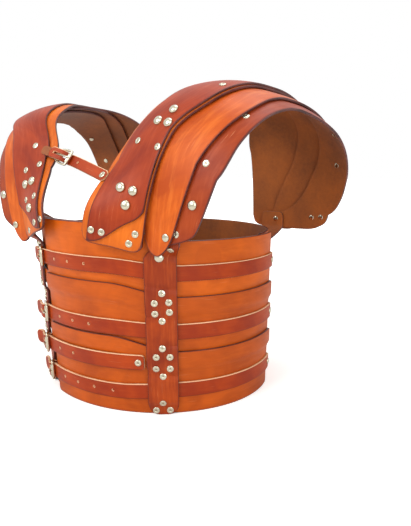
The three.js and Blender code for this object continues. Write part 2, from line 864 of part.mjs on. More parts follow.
// A pivot rivet: a low domed head outside, a shank through the lames and the
// tab, and a burr inside.
function pivotRivet(side, front) {
  const first = front ? guardStep : 0;
  const headAt = -seatGap;
  const tailAt = deepest + tabGap + uprightThickness + seatGap - first;
  const profile = [
    new THREE.Vector2(0, headAt - pivotHeadHeight),
    new THREE.Vector2(pivotHeadRadius * 0.6, headAt - pivotHeadHeight * 0.8),
    new THREE.Vector2(pivotHeadRadius, headAt - pivotHeadHeight * 0.3),
    new THREE.Vector2(pivotHeadRadius, headAt),
    new THREE.Vector2(pivotRadius, headAt),
    new THREE.Vector2(pivotRadius, tailAt),
    new THREE.Vector2(pivotHeadRadius * 0.8, tailAt),
    new THREE.Vector2(pivotHeadRadius * 0.8, tailAt + pivotHeadHeight / 2),
    new THREE.Vector2(0, tailAt + pivotHeadHeight / 2),
  ];
  const geometry = new THREE.LatheGeometry(profile, roundSides);
  const point = pivotPoint(side, front);
  if (!front) {
    geometry.rotateX(Math.PI);
  }
  geometry.translate(point.x, 0, 0);
  geometry.translate(0, point.y + (front ? first : -first), point.z);
  return fromManifold(toManifold(geometry));
}

const sides = [['left', 1], ['right', -1]];
for (const [sideName, side] of sides) {
  for (const lame of guardLames) {
    const cutters = [true, false].filter((front) => lame.holes[front ? 0 : 1]).map((front) => pivotHole(side, front));
    const geometry = guardLame(lame, side);
    const mesh = addMesh(
      `${sideName}_guard_${lame.name}`,
      cutters.length > 0 ? cut(geometry, cutters) : geometry,
      lame.hide,
    );
    mesh.userData.pivot = pivotPoint(side, true);
    mesh.userData.axis = new THREE.Vector3(0, 1, 0);
  }
  for (const [endName, front] of [['front', true], ['rear', false]]) {
    addMesh(`${sideName}_${endName}_pivot_rivet`, pivotRivet(side, front), hide.nickel);
  }
}

// Upright straps: each follows the girdle over its laps and straps, and its top
// leaves the girdle and turns square to the pivot line, under the lames.
function uprightStrap(side, front) {
  const middle = side * (front ? uprightAngle : rearUprightAngle);
  const onOuterPanel = side > 0 && front;
  const half = uprightWidth / 2 / arcPerDegree(middle, girdleHeight / 2);
  const top = pivotHeight + tabAbove;
  const rows = Math.round(top / uprightStep);
  const leave = front ? girdleHeight - tabRunFront : girdleHeight - tabRunBack;
  const tabFace = front ? tabFront : tabBack;
  const grids = [uprightThickness, 0].map((depth) => {
    const grid = [];
    for (let row = 0; row <= rows; row += 1) {
      const height = top * row / rows;
      const line = [];
      for (const share of [-1, 0, 1]) {
        const angle = middle + share * half;
        const wrapped = angle < 0 ? angle + 360 : angle;
        const base = uprightBase(onOuterPanel ? angle : wrapped, height, onOuterPanel);
        const spot = girdlePoint(angle, height, base + depth);
        const turned = side * (front ? share : -share);
        const tab = new THREE.Vector3(
          side * (pivotOffset - tabInset + turned * uprightWidth / 2),
          tabFace + (front ? uprightThickness - depth : depth - uprightThickness),
          height,
        );
        line.push(spot.lerp(tab, smooth(leave, pivotHeight - tabFlat, height)));
      }
      grid.push(line);
    }
    return grid;
  });
  return cut(sheet(grids[0], grids[1]), [pivotHole(side, front)]);
}

for (const [sideName, side] of sides) {
  addMesh(`girdle_upright_${sideName}_front`, uprightStrap(side, true), hide.russet);
  addMesh(`girdle_upright_${sideName}_rear`, uprightStrap(side, false), hide.russet);
}

// Chest strap: its end lies on the left base's margin, it crosses the open neck
// and is buckled to a chape on the right base's margin.
function baseFront(side, x) {
  const z = pivotHeight + chestStartAbove + (chestStart - x) * chestSlope;
  const spot = (dx, dz) => {
    const across = side * (x + dx) - pivotOffset;
    const up = z + dz - pivotHeight;
    return new THREE.Vector3(x + dx, planePoint(across, up, 0, true).y - flare(across, up), z + dz);
  };
  const middle = spot(0, 0);
  const level = spot(wireRadius, 0).sub(middle);
  const rising = spot(0, wireRadius).sub(middle);
  return { spot: middle, out: level.cross(rising).normalize() };
}

function ribbon(stops) {
  const curve = new THREE.CatmullRomCurve3(stops.map((stop) => stop.spot), false, 'centripetal');
  const length = curve.getLength();
  const shares = stops.map((stop) => stops[0].spot.x - stop.spot.x).map((run, i, runs) => run / runs.at(-1));
  return { length, frame: (distance) => {
    const share = distance / length;
    const held = Math.min(1, Math.max(0, share));
    const tangent = curve.getTangentAt(held);
    const spot = curve.getPointAt(held).addScaledVector(tangent, (share - held) * length);
    const index = Math.max(1, shares.findIndex((value) => value >= held));
    const local = (held - shares[index - 1]) / (shares[index] - shares[index - 1]);
    const lean = stops[index - 1].out.clone().lerp(stops[index].out, local);
    const out = lean.addScaledVector(tangent, -lean.dot(tangent)).normalize();
    return { spot, tangent, out, across: tangent.clone().cross(out) };
  } };
}

const chestEnd = baseFront(-1, -chestRightEdge - chestMargin);
const chestEdge = baseFront(-1, -chestRightEdge);
const chestLine = (x) => ({
  spot: chestEdge.spot.clone().lerp(chestEnd.spot, (x - chestRightEdge) / chestMargin),
  out: chestEnd.out,
});
const chestStops = [
  baseFront(1, chestStart),
  baseFront(1, mix(chestStart, chestLeftEdge, 0.5)),
  baseFront(1, chestLeftEdge),
  chestLine(chestBuckle - chestLead),
  chestLine(chestRightEdge),
  chestLine(chestRightEdge + chestMargin),
];
const chestRun = ribbon(chestStops);
const chestRoller = (chestStart + chestBuckle) * Math.hypot(1, chestSlope);
const chestRoute = {
  chape: chestChape,
  strapBase: 2 * lameGap,
  heelBase: overlayThickness + 2 * overlayGap + guardGap,
  place: (along, out, across) => {
    const frame = chestRun.frame(chestRoller + along);
    return frame.spot.addScaledVector(frame.out, out).addScaledVector(frame.across, across);
  },
};
const chestBuckleSet = addBuckle('buckle_chest', chestRoute, chestStrapWidth);
const chestSpots = [];
for (let step = 0; step <= chestSteps; step += 1) {
  chestSpots.push(mix(-chestRoller, chestBuckleSet.heelAlong + chestTail, step / chestSteps));
}
const chestGrids = [strapThickness, 0].map((depth) => chestSpots.map((along) => {
  const base = along < 0 ? chestRoute.strapBase : threadedOut(chestRoute, chestBuckleSet, along);
  const rounded = Math.min(1, (along + chestRoller) / (chestStrapWidth / 2));
  const half = chestStrapWidth / 2 * Math.sqrt(1 - (1 - rounded) ** 2 * endRoundShare);
  return [-half, half].map((across) => chestRoute.place(along, base + depth, across));
}));
addMesh('chest_strap', cut(sheet(chestGrids[0], chestGrids[1]), [tongueSlot(chestBuckleSet)]), hide.russet);

const box = new THREE.Box3().setFromObject(group);
const middle = box.getCenter(new THREE.Vector3());
group.position.set(-middle.x, -middle.y, -box.min.z);

export default group;
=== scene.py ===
"""Leather chest armour: a buckled girdle, two lamed shoulder guards and a chest strap."""

import functools
import json
import logging
import math
from dataclasses import dataclass, field
from enum import Enum
from typing import Callable, Iterable, Sequence

import bpy
import numpy as np
from mathutils import Matrix, Vector

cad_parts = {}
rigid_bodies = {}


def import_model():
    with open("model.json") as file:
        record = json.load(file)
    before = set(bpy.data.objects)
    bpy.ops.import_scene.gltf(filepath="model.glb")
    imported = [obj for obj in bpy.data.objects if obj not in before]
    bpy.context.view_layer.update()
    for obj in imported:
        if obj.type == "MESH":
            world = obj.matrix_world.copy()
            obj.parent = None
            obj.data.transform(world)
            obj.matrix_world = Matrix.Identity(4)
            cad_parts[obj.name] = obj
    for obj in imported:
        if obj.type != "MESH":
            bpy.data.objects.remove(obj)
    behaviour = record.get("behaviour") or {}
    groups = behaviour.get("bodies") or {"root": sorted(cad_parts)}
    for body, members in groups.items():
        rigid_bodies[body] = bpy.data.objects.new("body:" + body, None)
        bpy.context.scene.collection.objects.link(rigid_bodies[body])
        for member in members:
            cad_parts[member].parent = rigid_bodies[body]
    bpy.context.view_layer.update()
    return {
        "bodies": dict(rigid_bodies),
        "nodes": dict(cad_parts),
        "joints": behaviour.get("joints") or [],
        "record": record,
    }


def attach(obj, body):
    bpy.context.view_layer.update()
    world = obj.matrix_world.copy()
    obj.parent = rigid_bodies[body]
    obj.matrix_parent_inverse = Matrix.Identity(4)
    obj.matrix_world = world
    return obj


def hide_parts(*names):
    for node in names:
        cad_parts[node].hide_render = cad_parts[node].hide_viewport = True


LOG = logging.getLogger("armour")

MM = 0.001
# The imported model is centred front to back, this far behind the armour's own middle.
SHIFT_MM = 7.2452
# The length that one unit of the UV maps stands for.
GRID_UV_MM = 100.0
# The refractive index of oiled hide, and white light.
HIDE_IOR = 1.5
WHITE = (1.0, 1.0, 1.0, 1.0)
# Sharper turns than these stay sharp: on hide, on its bevelled cuts and on metal.
HIDE_ANGLE, CUT_ANGLE, METAL_ANGLE = (math.radians(degrees) for degrees in (38, 55, 50))
# How finely a wire is rounded, how near in metres its points are welded, and a punch's sides.
WIRE_ROUND, WELD, PUNCH_SIDES = 3, 0.00001, 16

Place = Callable[[float, float, float], Vector]
Socket = bpy.types.NodeSocket
Spot = float | np.ndarray


# Plain helpers


def smooth(low: float, high: float, value: float) -> float:
    """Rise softly from 0 at low to 1 at high."""
    share = min(1.0, max(0.0, (value - low) / (high - low)))
    return share * share * (3.0 - 2.0 * share)


def mix(start: float, end: float, share: float) -> float:
    """Return the value that lies share of the way from start to end."""
    return start + (end - start) * share


def through(values: Sequence[float], share: float) -> float:
    """Read a smooth curve through evenly spaced values, kept between the least and the most.

    Args:
        values: The values that the curve goes through.
        share: Where to read it, from 0 at the first value to 1 at the last.

    Returns:
        The curve's value there.
    """
    last = len(values) - 1
    place = min(1.0, max(0.0, share)) * last
    index = min(last - 1, int(place))
    before, after = values[max(0, index - 1)], values[min(last, index + 2)]
    start, end = values[index], values[index + 1]
    curve = cubic(start, end, (end - before) / 2, (after - start) / 2, place - index)
    return min(max(values), max(min(values), curve))


def cubic(start: Spot, end: Spot, leaving: Spot, arriving: Spot, share: float) -> Spot:
    """Read the cubic curve between two values or points.

    Args:
        start: The value at share 0.
        end: The value at share 1.
        leaving: The slope at the start.
        arriving: The slope at the end.
        share: Where to read it.

    Returns:
        The curve's value there.
    """
    cubed = 2 * start - 2 * end + leaving + arriving
    squared = 3 * end - 3 * start - 2 * leaving - arriving
    return cubed * share**3 + squared * share**2 + leaving * share + start


def running_lengths(points: np.ndarray, axis: int = 0) -> np.ndarray:
    """Measure how far along its row each point lies.

    Args:
        points: A row or a grid of points, with their coordinates last.
        axis: The grid's direction that is measured along.

    Returns:
        Each point's distance from its row's first one.
    """
    steps = np.linalg.norm(np.diff(points, axis=axis), axis=-1)
    return np.insert(np.cumsum(steps, axis=axis), 0, 0.0, axis=axis)


def metres(point: Vector) -> Vector:
    """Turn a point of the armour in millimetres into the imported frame's metres."""
    return Vector((point.x, point.y + SHIFT_MM, point.z)) * MM


def linear(hex_colour: str) -> tuple[float, float, float, float]:
    """Turn an sRGB hex colour into the linear one that the nodes take."""
    channels = [int(hex_colour[i : i + 2], 16) / 255 for i in (1, 3, 5)]
    turned = [c / 12.92 if c <= 0.04045 else ((c + 0.055) / 1.055) ** 2.4 for c in channels]
    return (turned[0], turned[1], turned[2], 1.0)


# Finishes


class Brush:
    """Builds the node tree of a material or world."""

    def __init__(self, owner: bpy.types.Material | bpy.types.World) -> None:
        """Start from an empty tree."""
        owner.use_nodes = True
        self.tree = owner.node_tree
        self.tree.nodes.clear()

    def add(
        self, kind: str, inputs: dict[str | int, object] | None = None, **settings: object
    ) -> bpy.types.Node:
        """Add a node with its settings, and set or link its inputs.

        Args:
            kind: The node's type name, after the start that they all share.
            inputs: Socket name or number to a value, or to a socket that is linked to it.
            settings: Properties of the node itself.

        Returns:
            The new node.
        """
        node = self.tree.nodes.new(f"ShaderNode{kind}")
        for key, value in settings.items():
            setattr(node, key, value)
        for key, value in (inputs or {}).items():
            if isinstance(value, Socket):
                self.tree.links.new(value, node.inputs[key])
            else:
                node.inputs[key].default_value = value
        return node

    def mapped(self, where: Socket, scale: Sequence[float], turn: float = 0.0) -> Socket:
        """Scale coordinates, after a turn in their plane by an angle in radians."""
        return self.add("Mapping", {0: where, 2: (0.0, 0.0, turn), 3: scale}).outputs[0]

    def noise(
        self, where: Socket, scale: float, detail: float = 2.0, roughness: float = 0.5,
        distortion: float = 0.0,
    ) -> Socket:
        """Return the value of a noise at the coordinates."""
        inputs = {"Vector": where, "Scale": scale, "Detail": detail, "Roughness": roughness}
        return self.add("TexNoise", {**inputs, "Distortion": distortion}).outputs[0]

    def ranged(
        self, value: Socket, span: tuple[float, float], to: tuple[float, float] = (0.0, 1.0),
        soft: bool = False,
    ) -> Socket:
        """Carry a value over from one span to another.

        Args:
            value: The value.
            span: Where it starts and ends.
            to: What it becomes at the span's start and end, and beyond them.
            soft: Whether it leaves and arrives softly.

        Returns:
            The new value.
        """
        inputs = {"Value": value, "From Min": span[0], "From Max": span[1], "To Min": to[0], "To Max": to[1]}
        kind = "SMOOTHSTEP" if soft else "LINEAR"
        return self.add("MapRange", inputs, interpolation_type=kind).outputs[0]

    def reckon(self, operation: str, *values: Socket | float) -> Socket:
        """Return the result of an operation on values."""
        return self.add("Math", dict(enumerate(values)), operation=operation).outputs[0]

    def blend(self, share: Socket, *colours: Socket | str) -> Socket:
        """Mix two colours, given as sockets or as sRGB hex colours."""
        first, second = (linear(colour) if isinstance(colour, str) else colour for colour in colours)
        return self.add("Mix", {0: share, 6: first, 7: second}, data_type="RGBA").outputs[2]

    def bump(self, height: Socket, strength: float, depth_mm: float, under: Socket | None = None) -> Socket:
        """Return the normal of a relief, which may lie over another one's normal."""
        inputs = {"Strength": strength, "Distance": depth_mm * MM, "Height": height}
        if under is not None:
            inputs["Normal"] = under
        return self.add("Bump", inputs).outputs[0]

    def shade(self, inputs: dict[str, object]) -> None:
        """Add the surface's shader and show it."""
        self.add("OutputMaterial", {"Surface": self.add("BsdfPrincipled", inputs).outputs[0]})


@dataclass(frozen=True)
class TannedHide:
    """Vegetable-tanned cowhide, drum dyed and oiled: soft streaks, fine pores, dark burnished rims."""

    name: str
    colour: str
    deep: str
    light: str
    rim: str = "#5A2A20"
    # Colour of the painted highlight along the upper edge.
    upper_highlight: str = "#F2C8A0"
    scratched: str = "#F0A878"
    mottle_mm: float = 55.0
    mottle_span: tuple[float, float] = (0.34, 0.66)
    streak_mm: float = 5.0
    streak_length: float = 9.0
    streak_depth: float = 0.5
    streak_span: tuple[float, float] = (0.42, 0.7)
    glow_span: tuple[float, float] = (0.5, 0.28)
    glow_share: float = 0.9
    fine_mm: float = 2.4
    pore_mm: float = 1.1
    pore_depth_mm: float = 0.05
    pore_share: float = 0.6
    crease_depth_mm: float = 0.0
    rim_mm: float = 1.4
    rim_wave: float = -1.2
    rim_soft: tuple[float, float] = (-0.6, -0.4)
    rim_share: float = 0.9
    shade_mm: float = 7.0
    shade_share: float = 0.35
    roughness: float = 0.42
    rough_span: tuple[float, float] = (0.07, 0.12)
    # Whether the hide carries the painted shadow below the left guard.
    guard_shadow: bool = False
    # Where the painted shadow's middle lies in the imported frame, and where it starts and is full, in
    # metres.
    guard_shadow_spot: tuple[float, float, float] = (0.168, -0.082, 0.212)
    guard_shadow_reach: tuple[float, float] = (0.0205, 0.0175)
    guard_shadow_share: float = 0.55
    scratches: float = 0.25
    scratch_span: tuple[float, float] = (0.68, 0.74)
    patch_mm: float = 26.0
    patch_span: tuple[float, float] = (0.5, 0.62)
    # The painted highlight along the upper edge: its width, its waviness and its soft start and end.
    upper_highlight_mm: float = 0.0
    upper_highlight_wave: float = 0.7
    upper_highlight_soft: tuple[float, float] = (0.55, 0.15)

    def build(self) -> bpy.types.Material:
        """Make the material of the grain side."""
        material = bpy.data.materials.new(self.name)
        brush = Brush(material)
        coords = brush.add("TexCoord").outputs["UV"]
        flat = brush.mapped(coords, (GRID_UV_MM,) * 3)
        long = brush.mapped(coords, (GRID_UV_MM / self.streak_length, GRID_UV_MM, GRID_UV_MM))
        streak = brush.noise(long, 1 / self.streak_mm, 5.0, 0.62, 0.35)
        fine = brush.noise(flat, 1 / self.fine_mm, 4.0, 0.6)
        colour = self.add_dye(brush, flat, streak)
        if self.scratches > 0:
            colour = self.add_scratches(brush, flat, colour)
        # Painted shadow below the left guard: a darker half-round patch.
        if self.guard_shadow:
            colour = self.add_guard_shadow(brush, colour)
        colour = self.add_rim(brush, fine, colour)
        # Painted highlight along the strap's upper edge, beside its raw cut edge.
        if self.upper_highlight_mm > 0:
            colour = self.add_upper_highlight(brush, fine, colour)
        smoother, rougher = self.rough_span
        rough = brush.ranged(streak, (0.0, 1.0), (self.roughness - smoother, self.roughness + rougher))
        pore_inputs = {"Vector": flat, "Scale": 1 / self.pore_mm, "Smoothness": 0.7}
        pores = brush.add("TexVoronoi", pore_inputs, feature="SMOOTH_F1").outputs[0]
        height = brush.reckon("MULTIPLY_ADD", pores, self.pore_share, fine)
        bump = brush.bump(height, 0.55, self.pore_depth_mm)
        if self.crease_depth_mm > 0:
            bump = brush.bump(streak, 0.8, self.crease_depth_mm, bump)
        brush.shade({
            "Base Color": colour, "Roughness": rough, "Normal": bump, "IOR": HIDE_IOR,
            "Specular IOR Level": 0.2, "Coat Weight": 0.03, "Coat Roughness": 0.3,
        })
        return material

    def add_dye(self, brush: Brush, flat: Socket, streak: Socket) -> Socket:
        """Draw the dye: broad mottling, darker streaks and the paler hide that shows between them.

        Args:
            brush: The material's brush.
            flat: Surface coordinates in millimetres.
            streak: The long noise.

        Returns:
            The dyed colour.
        """
        mottle = brush.noise(flat, 1 / self.mottle_mm, 3.0, 0.55, 0.6)
        ground = brush.blend(brush.ranged(mottle, self.mottle_span), self.colour, self.deep)
        lined = brush.ranged(streak, self.streak_span, (0.0, self.streak_depth))
        glow = brush.ranged(streak, self.glow_span, (0.0, self.glow_share * self.streak_depth))
        return brush.blend(glow, brush.blend(lined, ground, self.deep), self.light)

    def add_rim(self, brush: Brush, fine: Socket, dyed: Socket) -> Socket:
        """Darken the hide towards its edge, and draw the burnished rim.

        Args:
            brush: The material's brush.
            fine: The fine noise that makes the rim uneven.
            dyed: The colour beside the rim.

        Returns:
            The colour with the rim.
        """
        edge = brush.add("Attribute", attribute_name="edge").outputs["Fac"]
        shade = brush.ranged(edge, (self.shade_mm, 0.0), (0.0, self.shade_share), soft=True)
        wavy = brush.reckon("MULTIPLY_ADD", fine, self.rim_wave, edge)
        starts, full = self.rim_soft
        near = brush.ranged(wavy, (self.rim_mm + starts, full), (0.0, self.rim_share), soft=True)
        return brush.blend(near, brush.blend(shade, dyed, self.deep), self.rim)

    def add_upper_highlight(self, brush: Brush, fine: Socket, dyed: Socket) -> Socket:
        """Draw a painted highlight: a thin pale tan line on the grain along the upper edge only, where light
        falls.

        Args:
            brush: The material's brush.
            fine: The fine noise that makes the line uneven.
            dyed: The colour beside the line.

        Returns:
            The colour with the line.
        """
        upper = brush.add("Attribute", attribute_name="upper").outputs["Fac"]
        wavy = brush.reckon("MULTIPLY_ADD", fine, self.upper_highlight_wave, upper)
        starts, full = self.upper_highlight_soft
        return brush.blend(brush.ranged(wavy, (self.upper_highlight_mm + starts, self.upper_highlight_mm + full)), dyed, self.upper_highlight)

    def add_scratches(self, brush: Brush, flat: Socket, dyed: Socket) -> Socket:
        """Draw sparse, fine, paler scratches.

        Args:
            brush: The material's brush.
            flat: Surface coordinates in millimetres.
            dyed: The colour under the scratches.

        Returns:
            The colour with the scratches.
        """
        lines = brush.noise(brush.mapped(flat, (0.02, 1.0, 1.0), 0.9), 0.9, 1.0, distortion=0.1)
        patch = brush.noise(flat, 1 / self.patch_mm, 1.0)
        where = brush.ranged(patch, self.patch_span, (0.0, self.scratches))
        amount = brush.reckon("MULTIPLY", brush.ranged(lines, self.scratch_span), where)
        return brush.blend(amount, dyed, self.scratched)

    def add_guard_shadow(self, brush: Brush, dyed: Socket) -> Socket:
        """Draw painted shadow: a darker half-round patch on the top band at the wearer's left, below the left
        guard.

        Args:
            brush: The material's brush.
            dyed: The colour under the painted shadow.

        Returns:
            The colour with the painted shadow.
        """
        where = brush.add("TexCoord").outputs["Object"]
        away = brush.add("VectorMath", {0: where, 1: self.guard_shadow_spot}, operation="DISTANCE").outputs["Value"]
        inside = brush.ranged(away, self.guard_shadow_reach, (0.0, self.guard_shadow_share), soft=True)
        return brush.blend(inside, dyed, self.deep)


@dataclass(frozen=True)
class CutEdge:
    """The cut side of a hide: burnished dark with beeswax, or left raw, tan and a little fibrous."""

    name: str
    colour: str
    deep: str
    roughness: float
    fibre_mm: float = 2.0
    cloud_mm: float = 30.0
    span: tuple[float, float] = (0.15, 0.36)
    relief_mm: float = 0.08

    def build(self) -> bpy.types.Material:
        """Make the material of the cut edge."""
        material = bpy.data.materials.new(self.name)
        brush = Brush(material)
        coords = brush.add("TexCoord").outputs["Object"]
        fibres = brush.noise(coords, 1 / (self.fibre_mm * MM), 4.0, 0.65)
        both = brush.reckon("MULTIPLY", fibres, brush.noise(coords, 1 / (self.cloud_mm * MM)))
        brush.shade({
            "Base Color": brush.blend(brush.ranged(both, self.span), self.deep, self.colour),
            "Roughness": self.roughness, "Normal": brush.bump(fibres, 0.5, self.relief_mm), "IOR": HIDE_IOR,
        })
        return material


@dataclass(frozen=True)
class FleshSide:
    """The flesh side of the hide: dyed through, sanded and sealed, so it is dull, with a short nap."""

    name: str
    colour: str
    deep: str
    roughness: float = 0.68
    nap_mm: float = 4.8
    nap_share: float = 0.5
    cloud_mm: float = 70.0
    span: tuple[float, float] = (0.55, 0.95)
    relief_mm: float = 0.1

    def build(self) -> bpy.types.Material:
        """Make the material of the flesh side."""
        material = bpy.data.materials.new(self.name)
        brush = Brush(material)
        coords = brush.add("TexCoord").outputs["Object"]
        nap = brush.noise(coords, 1 / (self.nap_mm * MM), 5.0, 0.7)
        cloud = brush.noise(coords, 1 / (self.cloud_mm * MM), 3.0)
        share = brush.reckon("MULTIPLY_ADD", nap, self.nap_share, cloud)
        brush.shade({
            "Base Color": brush.blend(brush.ranged(share, self.span), self.deep, self.colour),
            "Roughness": self.roughness, "Normal": brush.bump(nap, 0.5, self.relief_mm),
            "IOR": HIDE_IOR, "Sheen Weight": 0.1,
        })
        return material


@dataclass(frozen=True)
class NickelPlate:
    """Steel with bright nickel plate, tumbled: a warm mirror with faint scuffs."""

    name: str
    colour: str
    roughness: float
    scuffed: str = "#B9B29A"
    scuff_mm: float = 3.0
    span: tuple[float, float] = (0.3, 0.75)
    rougher: float = 0.12
    relief_mm: float = 0.02

    def build(self) -> bpy.types.Material:
        """Make the material of the metal."""
        material = bpy.data.materials.new(self.name)
        brush = Brush(material)
        coords = brush.add("TexCoord").outputs["Object"]
        scuffs = brush.noise(coords, 1 / (self.scuff_mm * MM), 6.0, 0.7)
        brush.shade({
            "Base Color": brush.blend(scuffs, self.colour, self.scuffed), "Metallic": 1.0,
            "Roughness": brush.ranged(scuffs, self.span, (self.roughness, self.roughness + self.rougher)),
            "Normal": brush.bump(scuffs, 0.12, self.relief_mm),
        })
        return material


class Finish(Enum):
    """The finishes of the armour, each made once."""

    BAND = TannedHide("girdle_band_hide", "#C4560A", "#A84506", "#D66814", rim="#5E2820", streak_depth=0.2)
    # The top band carries painted shadow below the left guard.
    TOP_BAND = TannedHide(
        "girdle_top_band_hide", "#D6620C", "#BA500A", "#E6761C", rim="#5E2820", streak_depth=0.18, guard_shadow=True
    )
    # The straps carry a painted highlight along their upper edge.
    STRAP = TannedHide(
        "girdle_strap_hide", "#AE3E06", "#902C08", "#C05012", rim="#6E2C14",
        streak_mm=4.5, streak_depth=0.22, upper_highlight_mm=0.8,
    )
    UPRIGHT = TannedHide(
        "upright_strap_hide", "#AC420A", "#842A0A", "#C25820", rim="#5A241C",
        streak_mm=4.0, streak_length=12.0, streak_depth=0.4, crease_depth_mm=0.1,
    )
    OVERLAY = TannedHide(
        "guard_overlay_hide", "#A63C12", "#86280C", "#BC5430", rim="#4E2220", rim_mm=2.4, streak_depth=0.25
    )
    GUARD = TannedHide(
        "guard_orange_hide", "#D05E14", "#AE440C", "#EC8634", rim="#5A2A28",
        rim_mm=2.4, streak_mm=7.0, streak_depth=0.4,
    )
    BASE = TannedHide(
        "guard_margin_hide", "#DC6C14", "#BE5610", "#F08E34", rim="#5A2A28", rim_mm=2.2, streak_depth=0.3
    )
    OUTER_LAME = TannedHide(
        "guard_russet_hide", "#A24014", "#82280C", "#C05E3A", rim="#4E2220",
        rim_mm=3.0, streak_depth=0.25, scratches=0.5,
    )
    BURNISHED = CutEdge("burnished_cut_edge", "#6E3A34", "#3E1C1A", 0.42)
    RAW = CutEdge("raw_cut_edge", "#F0C8A0", "#CC9060", 0.6)
    FLESH = FleshSide("flesh_side", "#A0520E", "#743A0A")
    NICKEL = NickelPlate("nickel_plate", "#DAD4C0", 0.14)
    # Painted shade: the darker metal in a flat rivet's dished centre.
    TARNISHED = NickelPlate("dish_shaded_nickel", "#8A8370", 0.3)


class Wardrobe:
    """Keeps one material for each finish."""

    made: dict[Finish, bpy.types.Material] = {}

    @classmethod
    def get(cls, finish: Finish) -> bpy.types.Material:
        """Return the finish's material, made at the first call."""
        if finish not in cls.made:
            cls.made[finish] = finish.value.build()
        return cls.made[finish]


# The workbench


def clear_selection() -> None:
    """Deselect everything, because an operator acts on all that is selected."""
    bpy.ops.object.select_all(action="DESELECT")


def make_active(piece: bpy.types.Object) -> None:
    """Select one object alone and make it the active one."""
    clear_selection()
    piece.select_set(True)
    bpy.context.view_layer.objects.active = piece


def fresh(operator: Callable[..., object], **settings: object) -> bpy.types.Object:
    """Add an object alone.

    Args:
        operator: The operator that adds it.
        settings: The operator's settings.

    Returns:
        The new object.
    """
    clear_selection()
    operator(**settings)
    return bpy.context.object


def edit_face(piece: bpy.types.Object, rank: Callable[[bpy.types.MeshPolygon], float]) -> None:
    """Enter edit mode with one face selected, the one that ranks highest.

    Args:
        piece: The active object.
        rank: What a face is ranked by.
    """
    best = max(piece.data.polygons, key=rank).index
    bpy.ops.object.mode_set(mode="EDIT")
    bpy.ops.mesh.select_mode(type="FACE")
    bpy.ops.mesh.select_all(action="DESELECT")
    bpy.ops.object.mode_set(mode="OBJECT")
    piece.data.polygons[best].select = True
    bpy.ops.object.mode_set(mode="EDIT")


def turned_to(direction: Vector) -> Matrix:
    """Return the turn that takes the z axis to a direction."""
    return Vector((0, 0, 1)).rotation_difference(direction.normalized()).to_matrix().to_4x4()


def carry(piece: bpy.types.Object, pose: Matrix) -> None:
    """Move a mesh in metres from the origin into a frame of the armour, whose place is in millimetres."""
    turned = pose.copy()
    turned.translation = Vector()
    piece.data.transform(turned)
    piece.data.transform(Matrix.Translation(metres(pose.translation)))


def finish_with(piece: bpy.types.Object, kind: str, **settings: object) -> None:
    """Add a modifier with its settings and apply it.

    Args:
        piece: The object that gets the modifier.
        kind: The modifier's type.
        settings: The modifier's properties.
    """
    make_active(piece)
    modifier = piece.modifiers.new(kind.title(), kind)
    for key, value in settings.items():
        setattr(modifier, key, value)
    bpy.ops.object.modifier_apply(modifier=modifier.name)


def join(name: str, pieces: Sequence[bpy.types.Object]) -> bpy.types.Object:
    """Join pieces into one object.

    Args:
        name: The joined object's name.
        pieces: The objects, of which the first one keeps its materials' order.

    Returns:
        The joined object.
    """
    make_active(pieces[0])
    for piece in pieces:
        piece.select_set(True)
    if len(pieces) > 1:
        bpy.ops.object.join()
    pieces[0].name = name
    pieces[0].data.name = name
    return pieces[0]


def settle(piece: bpy.types.Object, body: str, slot: str, nodes: Iterable[str] = ()) -> None:
    """Fix a finished piece to its body and let it stand for its CAD nodes.

    Args:
        piece: The finished piece, with its place in its mesh.
        body: The CAD body that it rides on.
        slot: The record's material slot; not used.
        nodes: The CAD nodes that it replaces.
    """
    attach(piece, body)
    names = list(nodes)
    if names:
        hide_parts(*names)
    LOG.info("%s: %d faces, on %s", piece.name, len(piece.data.polygons), body)


